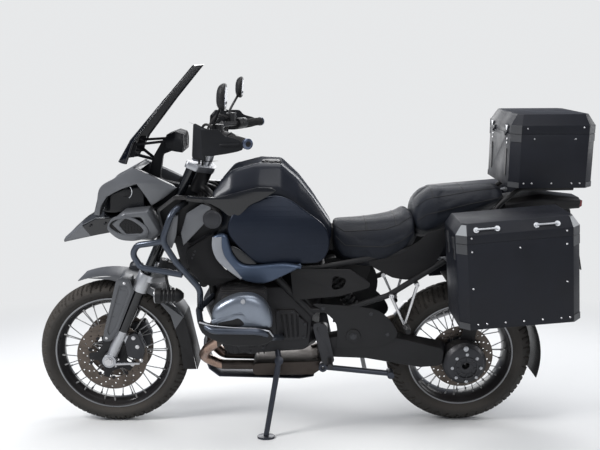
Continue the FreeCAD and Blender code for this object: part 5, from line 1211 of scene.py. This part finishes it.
# Top case: the same sheet and caps, on the carrier. Hinge leaves and two stay pockets sit on its front wall,
# each under a bright three-cornered stop, and one latch on the rear wall.
HALF_LONG, HALF_WIDE, TOP_TALL, STAY_Y = 165.0, 195.0, 212.0, 112.0
caps, rivets, pockets, lid_caps, lid_rivets, stops = drawings(6)
for side in (1, -1):
    for end in (1, -1):
        middle = (end * (HALF_LONG - 17), side * (HALF_WIDE - 17))
        across = Vector((-end * CHAMFER, side * CHAMFER, 0)) * end * side
        corner_plate(caps, middle, across, TOP_TALL - 30, TOP_TALL - 1)
        corner_plate(caps, middle, across, 1, 22)
        corner_plate(lid_caps, middle, across, TOP_TALL + 1, TOP_TALL + 34)
    rivet_row(rivets, ((113, 19), (80, 19), (3, 19), (-77, 19), (-109, 19), (80, 194), (-81, 194)), HALF_WIDE,
              side, 4.0, 2.5)
    rivet_row(lid_rivets, ((108, 234), (-111, 238)), HALF_WIDE, side, 4.0, 2.5)
    stay = side * STAY_Y
    for z in (172, 188):
        bar(rivets, (HALF_LONG - 0.5, stay, z), (HALF_LONG + 1.6, stay, z), 4.5, 3.0, sides=12)
    block(pockets, HALF_LONG + 0.3, HALF_LONG + 2.4, [(stay, 9, 7, z) for z in (40, 150)])
    block(stops, HALF_LONG + 0.3, HALF_LONG + 5, [(stay, half, half, z) for half, z in ((3, 222), (16, 242))])
block(pockets, -HALF_LONG - 0.4, -HALF_LONG - 7, [(0, 22, 18, z) for z in (150, 206)])
case_details("top_case", Matrix.Translation((-302, 0, 1078)), 1,
             (("_caps", caps, corner_cap), ("_rivets", rivets, bright_steel),
              ("_pockets", pockets, moulded_black)),
             (("_caps", lid_caps, corner_cap), ("_rivets", lid_rivets, bright_steel),
              ("_stops", stops, leg_silver)))

# Inner parts that close the view between tank, engine and wheels: moulded ducts beside the radiators, the
# side covers of the tail, the cast pivot plates with their bearing caps, the tray ahead of the rear wheel and
# the bracket between tank and seat.
# These dark pieces close gaps where only shade shows: painted shade, standing partly for real parts there.
gap_shade_black = coating("gap_shade_black", (0.006, 0.0065, 0.008), 0.6, grain=1400.0, relief=0.2, dust=0.12,
                      shine=0.2)
DUCT = [(1040, 905), (1045, 867), (1025, 786), (987, 738), (950, 712, 0), (996, 695), (1047, 680),
        (1086, 689), (1132, 735), (1151, 782), (1147, 837, 0), (1094, 871)]
TAIL_SIDE = [(413, 759), (341, 781), (217, 845), (176, 884, 0), (110, 905, 0), (99, 845), (138, 758),
             (196, 710), (246, 687), (314, 697, 0)]
PIVOT = [(640, 590), (560, 586, 0), (372, 560), (290, 462), (350, 404), (545, 392, 0), (545, 500),
         (600, 560)]
PIVOT_AT = (474, 450)
TRAY = [(650, 760), (400, 712), (352, 620), (384, 490, 0), (640, 480, 0)]
SEAT_BRACKET = [(606, 790, 0), (606, 880, 0), (575, 892), (540, 876), (516, 790, 0)]
ducts, covers, pivots, trays, studs = drawings(5)
for side in (1, -1):
    pierced(ducts, flowing(DUCT), [], side * 186.0, 14.0, 4.0)
    pierced(covers, flowing(TAIL_SIDE), [], side * 140.5, 3.0, 1.0)
    pierced(pivots, flowing(PIVOT), [], side * 160.0, 2.8, 1.0)
    cap = Vector((PIVOT_AT[0], side * 168, PIVOT_AT[1]))
    bar(pivots, cap - Vector((0, side * 8, 0)), cap, 31.0, 29.0, sides=48)
    for x, z in ((1118, 826), (1124, 812), (1130, 798)):
        bolt(studs, (x, side * 193, z), (0, side, 0), 3.0, 2.0)
    for x, z in ((600, 570), (400, 545), (330, 455)):
        bolt(studs, (x, side * 161.4, z), (0, side, 0), 6.0, 4.0)
    bolt(studs, cap, (0, side, 0), 11.0, 5.0, False)
pierced(trays, flowing(TRAY), [], -58.0, 4.0, 1.0)
pierced(trays, flowing(SEAT_BRACKET), [], 0.0, 90.0, 3.0)
made("radiator_ducts", ducts, CHASSIS, gap_shade_black, ("radiators",), 40)
made("tail_side_covers", covers, CHASSIS, gap_shade_black, ("tail_unit",), 40)
made("pivot_plates", pivots, CHASSIS, satin_black, ("frame_tubes",), 40)
made("wheel_tray", trays, CHASSIS, gap_shade_black, ("under_seat_covers",), 40)
made("inner_bolts", studs, CHASSIS, caliper_dark, ("frame_tubes",), 40)

# Tail: moulded unit with a red lamp across its end, and the bare base that a plate would be screwed to.
lamp_red = coating("lamp_red", (0.16, 0.004, 0.004), 0.15, grain=500.0, relief=0.05, gloss=0.8)
fair_copy("tail_unit", "tail_moulding", moulded_black, 2.0,
          keep=lambda c: c.z > 880 or abs(c.y) < 59.9)
lamp, base = drawings(2)
bridged(lamp, [[(-470, -56, z0), (-470, 56, z0), (-482, 50, z1), (-482, -50, z1)] for z0, z1 in
               ((972, 976), (1004, 1000))])
bridged(base, [[(-451 - d, -88, 878), (-451 - d, 88, 878), (-487 - d, 88, 712), (-487 - d, -88, 712)]
               for d in (-3.0, 0.6)])
made("tail_lamp", lamp, CHASSIS, lamp_red, ("tail_unit",), 30)
made("tail_plate_base", base, CHASSIS, satin_black, ("tail_unit",), 30)

# Foot pegs: toothed steel pegs on cast plates; the pillion's hang on bright forged struts in a V.
pegs, struts, teeth = drawings(3)
fair_copy("footpegs", "rider_peg_plates", caliper_dark, 1.0, keep=lambda c: c.x > 400)
for side in (1, -1):
    top, low, back = (Vector((x, side * 170, z)) for x, z in ((319, 624), (262, 498), (214, 672)))
    bar(struts, top, low, 6.5, 5.5, sides=16)
    bar(struts, low, back, 5.5, 6.5, sides=16)
    for spot in (top, back):
        bar(struts, spot - Vector((0, side * 38, 0)), spot + Vector((0, side * 4, 0)), 10.0, sides=20)
        bolt(struts, spot + Vector((0, side * 4, 0)), (0, side, 0), 6.0, 4.0)
    bar(pegs, (258, side * 164, 494), (257, side * 246, 498), 11.0, sides=20)
    for x, z, y0 in ((572, 346, 180), (257, 496, 186)):
        for i in range(7):
            y = side * (y0 + 9 * i)
            bar(teeth, (x - 11, y, z + 8), (x + 11, y, z + 8), 2.6, sides=6)
made_all(CHASSIS, "black_metal", "footpegs", 40, ("pillion_pegs", pegs, satin_black),
         ("pillion_struts", struts, bright_steel), ("peg_teeth", teeth, caliper_dark))

# Final drive: cast housing with a ribbed side, a ring of bolts round its cover and a filler plug.
DRIVE = Vector((-4, 176, 308))
drive, drive_bolts = drawings(2)
swing_body = frame["nodes"]["final_drive"]["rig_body"]
fair_copy("final_drive", "final_drive_casting", caliper_dark, 3.0, steps=3)
hoop(drive, DRIVE, (1, 0, 0), 47.0, 4.0, pieces=48)
hoop(drive, DRIVE - Vector((0, 1, 0)), (1, 0, 0), 26.0, 3.0, pieces=36)
for x, z in ring_of(1.0, 8):
    spot = Vector((x, 0, z))
    bolt(drive_bolts, DRIVE + spot * 60, (0, 1, 0), 5.0, 4.0)
    bar(drive, DRIVE + spot * 30, DRIVE + spot * 45, 3.0, sides=8)
bolt(drive_bolts, DRIVE + Vector((6, 0, 86)), (0, 1, 0), 8.0, 4.0)
made_all(swing_body, "black_metal", "final_drive", 40, ("final_drive_rings", drive, caliper_dark),
         ("final_drive_bolts", drive_bolts, leg_silver))

# Lamps on the crash bars: finned housings, each with a lens behind a bright ring.
FOG_LAMP_Y, FOG_LAMP_Z = 206, 645
lenses, rings = drawings(2)
for side in (1, -1):
    y = side * FOG_LAMP_Y
    bar(lenses, (1274, y, FOG_LAMP_Z), (1280, y, FOG_LAMP_Z), 29.0, 27.0, sides=40)
    hoop(rings, (1283, y, FOG_LAMP_Z), (0, 1, 0), 30.0, 2.0)
made_all(CHASSIS, "lamp_clear", "fog_lamps", 40, ("fog_lamp_lenses", lenses, chrome),
         ("fog_lamp_rings", rings, bright_steel))

# The other castings, tubes and covers, each in its own finish.
guard_steel = coating("guard_steel", (0.055, 0.065, 0.085), 0.3, metallic=0.7, dust=0.06)
rack_steel = coating("rack_steel", (0.30, 0.31, 0.33), 0.34, metallic=0.95, dust=0.1)
stand_paint = coating("stand_paint", (0.03, 0.036, 0.05), 0.33, metallic=0.6, grain=800.0, relief=0.1,
                      dust=0.15)

PLAIN = (
    # node, finish, slot, rounded edge in mm
    ("dampers", satin_black, "black_metal", 0.0),
    ("under_seat_covers", moulded_black, "panel_black", 1.0),
    ("fog_lamps", satin_black, "black_metal", 0.6),
    ("frame_tubes", satin_black, "black_metal", 0.0),
    ("leading_arm", satin_black, "black_metal", 0.0),
    ("swing_arm", satin_black, "black_metal", 3.0),
    ("engine_guards", guard_steel, "guard_steel", 0.0),
    ("tank_guards", guard_steel, "guard_steel", 0.0),
    ("radiators", engine_dark, "cast_grey", 0.6),
    ("skid_plate", stand_paint, "cast_grey", 0.8),
    ("rear_carrier", moulded_black, "panel_black", 1.0),
    ("rear_hugger", moulded_black, "panel_black", 0.6),
    ("pannier_racks", rack_steel, "guard_steel", 0.0),
    ("side_stand", stand_paint, "stand_steel", 0.8),
    ("stand_bracket", stand_paint, "stand_steel", 0.8),
    ("centre_stand", stand_paint, "stand_steel", 0.6),
)
for node, finish, slot, edge in PLAIN:
    fair_copy(node, node + "_finished", finish, edge)
